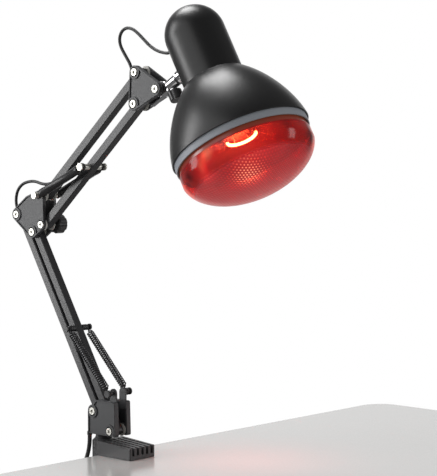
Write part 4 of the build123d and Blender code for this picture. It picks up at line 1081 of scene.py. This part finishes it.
looks = {
    "clamp_metal": finish("clamp_black", (0.046, 0.046, 0.048), 0.42, bump=0.10, grain=900),
    "arm_metal": finish("arm_black", (0.030, 0.030, 0.032), 0.34, bump=0.01),
    "bracket_plastic": finish("bracket_black", (0.048, 0.049, 0.052), 0.42, bump=0.05, grain=1100),
    "shade_metal": finish("shade_black", (0.006, 0.006, 0.0065), 0.36, bump=0.01, specular=0.6),
    "ring_grey": finish("ring_blue_grey", (0.32, 0.34, 0.375), 0.50, bump=0.02),
    "chrome": finish("bright_chrome", (0.78, 0.78, 0.80), 0.09, metal=1.0, mottle=0.02, bump=0.01),
    "zinc": finish("zinc_plate", (0.66, 0.65, 0.60), 0.30, metal=0.6, mottle=0.08, bump=0.04),
    "spring_steel": finish("spring_black", (0.075, 0.075, 0.078), 0.25, metal=0.6, bump=0.02),
    "sleeve_plastic": finish("sleeve_black", (0.022, 0.022, 0.023), 0.36, bump=0.02),
    "knob_plastic": finish("knob_black", (0.040, 0.040, 0.041), 0.36, bump=0.03),
    "nylon": finish("nylon_white", (0.62, 0.61, 0.57), 0.5, bump=0.03),
    "cord_black": finish("cord_pvc", (0.016, 0.016, 0.017), 0.42, bump=0.02),
    "grommet_rubber": finish("grommet_black", (0.020, 0.020, 0.021), 0.6, bump=0.06),
    "cap_metal": finish("cap_aluminium", (0.72, 0.72, 0.73), 0.3, metal=0.9, bump=0.05),
    "ceramic": finish("porcelain", (0.76, 0.75, 0.71), 0.22, coat=0.3, bump=0.01),
    "brass": finish("contact_brass", (0.70, 0.50, 0.20), 0.28, metal=1.0, bump=0.03),
    "switch_plastic": finish("switch_black", (0.020, 0.020, 0.021), 0.48, bump=0.08),
    "rocker_plastic": finish("rocker_black", (0.022, 0.022, 0.023), 0.25, bump=0.02),
    "pad_rubber": finish("pad_black", (0.024, 0.024, 0.025), 0.7, bump=0.10),
    "red_glass": lens_glass(),
    "mirror_glass": mirror_inside(),
    "filament": glowing("hot_wire", (1.0, 0.66, 0.36), 110.0),
}
black_steel = finish("blackened_steel", (0.032, 0.032, 0.033), 0.34, metal=0.2, bump=0.02)
support_wire = finish("support_wire", (0.55, 0.50, 0.45), 0.35, metal=0.8, bump=0.02)

record_slots = {entry["node"]: entry["material_slot"] for entry in frame["record"]["subparts"]}


def dress(piece, material):
    piece.data.materials.clear()
    piece.data.materials.append(material)
    if piece.type == "MESH":
        piece.data.polygons.foreach_set("material_index", [0] * len(piece.data.polygons))


# these are plated or white in the record, and black in the photo
PHOTO_LOOKS = {
    "spring_studs": black_steel,
    "lower_spring_pin": black_steel,
    "post_bush": looks["knob_plastic"],
}
for node_name, piece in frame["nodes"].items():
    dress(piece, PHOTO_LOOKS.get(node_name, looks[record_slots[node_name]]))
    smooth(piece.data, NODE_SHARP)
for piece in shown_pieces():
    if "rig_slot" in piece:
        dress(piece, looks[piece["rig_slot"]])
dress(foot, support_wire)


# Table, studio

ROOM_LIGHT = 0.32              # what matt surfaces get from the room
ROOM_SEEN = 0.14               # what shiny surfaces see of it
BACKDROP_WAY = (-0.68, 0.73, 0.0)
BACKDROP_START = 22.0          # the white backdrop fades out from here to there, degrees off its middle
BACKDROP_END = 40.0
JAW_UNDERSIDE = -0.3
TABLE_THICKNESS = 24.2
TABLE_EDGE = 9.0
TABLE_FAR = 415.0
TABLE_CORNER = 28.0
TABLE_SIZE = 1600.0
TABLE_ROUND = 1.5
CORNER_STEPS = 24


def table_top():
    """The table that the clamp grips. Its edge lies along Y in the clamp's throat, and its far corner
    is rounded."""
    c = TABLE_CORNER
    angles = [math.pi / 2 * i / CORNER_STEPS for i in range(CORNER_STEPS + 1)]
    corner = [(TABLE_EDGE + c - c * math.cos(a), TABLE_FAR - c + c * math.sin(a)) for a in angles]
    plan = [(TABLE_EDGE, -TABLE_SIZE)] + corner + [(TABLE_SIZE, TABLE_FAR), (TABLE_SIZE, -TABLE_SIZE)]
    count = len(plan)
    top = [mm(x, y, JAW_UNDERSIDE) for x, y in plan]
    low = [mm(x, y, JAW_UNDERSIDE - TABLE_THICKNESS) for x, y in plan]
    faces = [list(range(count))[::-1], list(range(count, 2 * count))]
    faces += [[i, (i + 1) % count, count + (i + 1) % count, count + i] for i in range(count)]
    table = mesh_piece("table_top", top + low, faces, sharp=30)
    bevel = table.modifiers.new("edge", "BEVEL")
    bevel.width = TABLE_ROUND * MM
    bevel.segments = 4
    bevel.limit_method = "ANGLE"
    return table


table = table_top()
table_grey = finish("table_grey", (0.455, 0.45, 0.44), 0.22, mottle=0.01, bump=0.0, coat=0.2, coat_rough=0.1)
dress(table, table_grey)


def studio_world():
    """White for the camera and through glass. What shines sees a white backdrop behind the object in a
    dim room, and matt surfaces get an even soft light."""
    world = bpy.data.worlds.new("studio")
    bpy.context.scene.world = world
    world.use_nodes = True
    tree = world.node_tree
    tree.nodes.clear()
    add, link = node_setter(tree), tree.links.new
    out = add("ShaderNodeOutputWorld")
    rays = add("ShaderNodeLightPath")
    white = add("ShaderNodeBackground")
    white.inputs["Color"].default_value = (1, 1, 1, 1)
    white.inputs["Strength"].default_value = 1.0
    room = add("ShaderNodeBackground")
    room.inputs["Color"].default_value = (1, 1, 1, 1)
    room.inputs["Strength"].default_value = ROOM_LIGHT
    way = add("ShaderNodeTexCoord")
    toward = add("ShaderNodeVectorMath", operation="DOT_PRODUCT")
    toward.inputs[1].default_value = BACKDROP_WAY
    link(way.outputs["Generated"], toward.inputs[0])
    backdrop = add("ShaderNodeMapRange")
    backdrop.interpolation_type = "SMOOTHSTEP"
    backdrop.inputs["From Min"].default_value = math.cos(math.radians(BACKDROP_END))
    backdrop.inputs["From Max"].default_value = math.cos(math.radians(BACKDROP_START))
    backdrop.inputs["To Min"].default_value = ROOM_SEEN
    backdrop.inputs["To Max"].default_value = 1.0
    link(toward.outputs["Value"], backdrop.inputs["Value"])
    shiny = add("ShaderNodeBackground")
    shiny.inputs["Color"].default_value = (1, 1, 1, 1)
    link(backdrop.outputs["Result"], shiny.inputs["Strength"])
    seen = add("ShaderNodeMath", operation="MAXIMUM")
    link(rays.outputs["Is Camera Ray"], seen.inputs[0])
    link(rays.outputs["Is Transmission Ray"], seen.inputs[1])
    matt_or_shiny = add_blend(add, link, rays.outputs["Is Glossy Ray"], room, shiny)
    mix = add_blend(add, link, seen.outputs[0], matt_or_shiny, white)
    link(mix.outputs[0], out.inputs["Surface"])


studio_world()

AIM = mm(60, 0, 230)           # the softboxes look at this


def softbox(name, azimuth, elevation, distance, width, height, power):
    """An area light that looks at AIM; sizes in metres, angles in degrees, power in watts. Azimuth 0 is
    toward -Y, and 90 toward +X."""
    light = bpy.data.lights.new(name, "AREA")
    light.shape = "RECTANGLE"
    light.size, light.size_y = width, height
    light.energy = power
    lamp = bpy.data.objects.new(name, light)
    a, e = math.radians(azimuth), math.radians(elevation)
    back = Vector((math.sin(a) * math.cos(e), -math.cos(a) * math.cos(e), math.sin(e)))
    lamp.location = AIM + distance * back
    lamp.rotation_euler = back.to_track_quat("Z", "Y").to_euler()
    bpy.context.scene.collection.objects.link(lamp)


softbox("left", -50, 12, 1.5, 0.45, 1.4, 13)
softbox("fill", -12, 30, 2.4, 2.4, 1.6, 13)
softbox("over", -104, 66, 1.3, 0.55, 0.7, 13)
softbox("right", 126, 12, 1.6, 0.3, 1.0, 4)

# The red light on the table: a spot lamp over its middle, which stays when the head moves

RED_PLACE = mm(127, 59, 150)
RED_WATTS = 0.6
RED_CONE = 78
RED_LAMP_RADIUS = 0.05
glow = bpy.data.lights.new("red_glow", "SPOT")
glow.energy = RED_WATTS
glow.color = (1.0, 0.10, 0.06)
glow.spot_size = math.radians(RED_CONE)
glow.spot_blend = 1.0
glow.shadow_soft_size = RED_LAMP_RADIUS
glow_lamp = bpy.data.objects.new("red_glow", glow)
glow_lamp.location = RED_PLACE
bpy.context.scene.collection.objects.link(glow_lamp)

bpy.context.scene.view_settings.view_transform = "Standard"
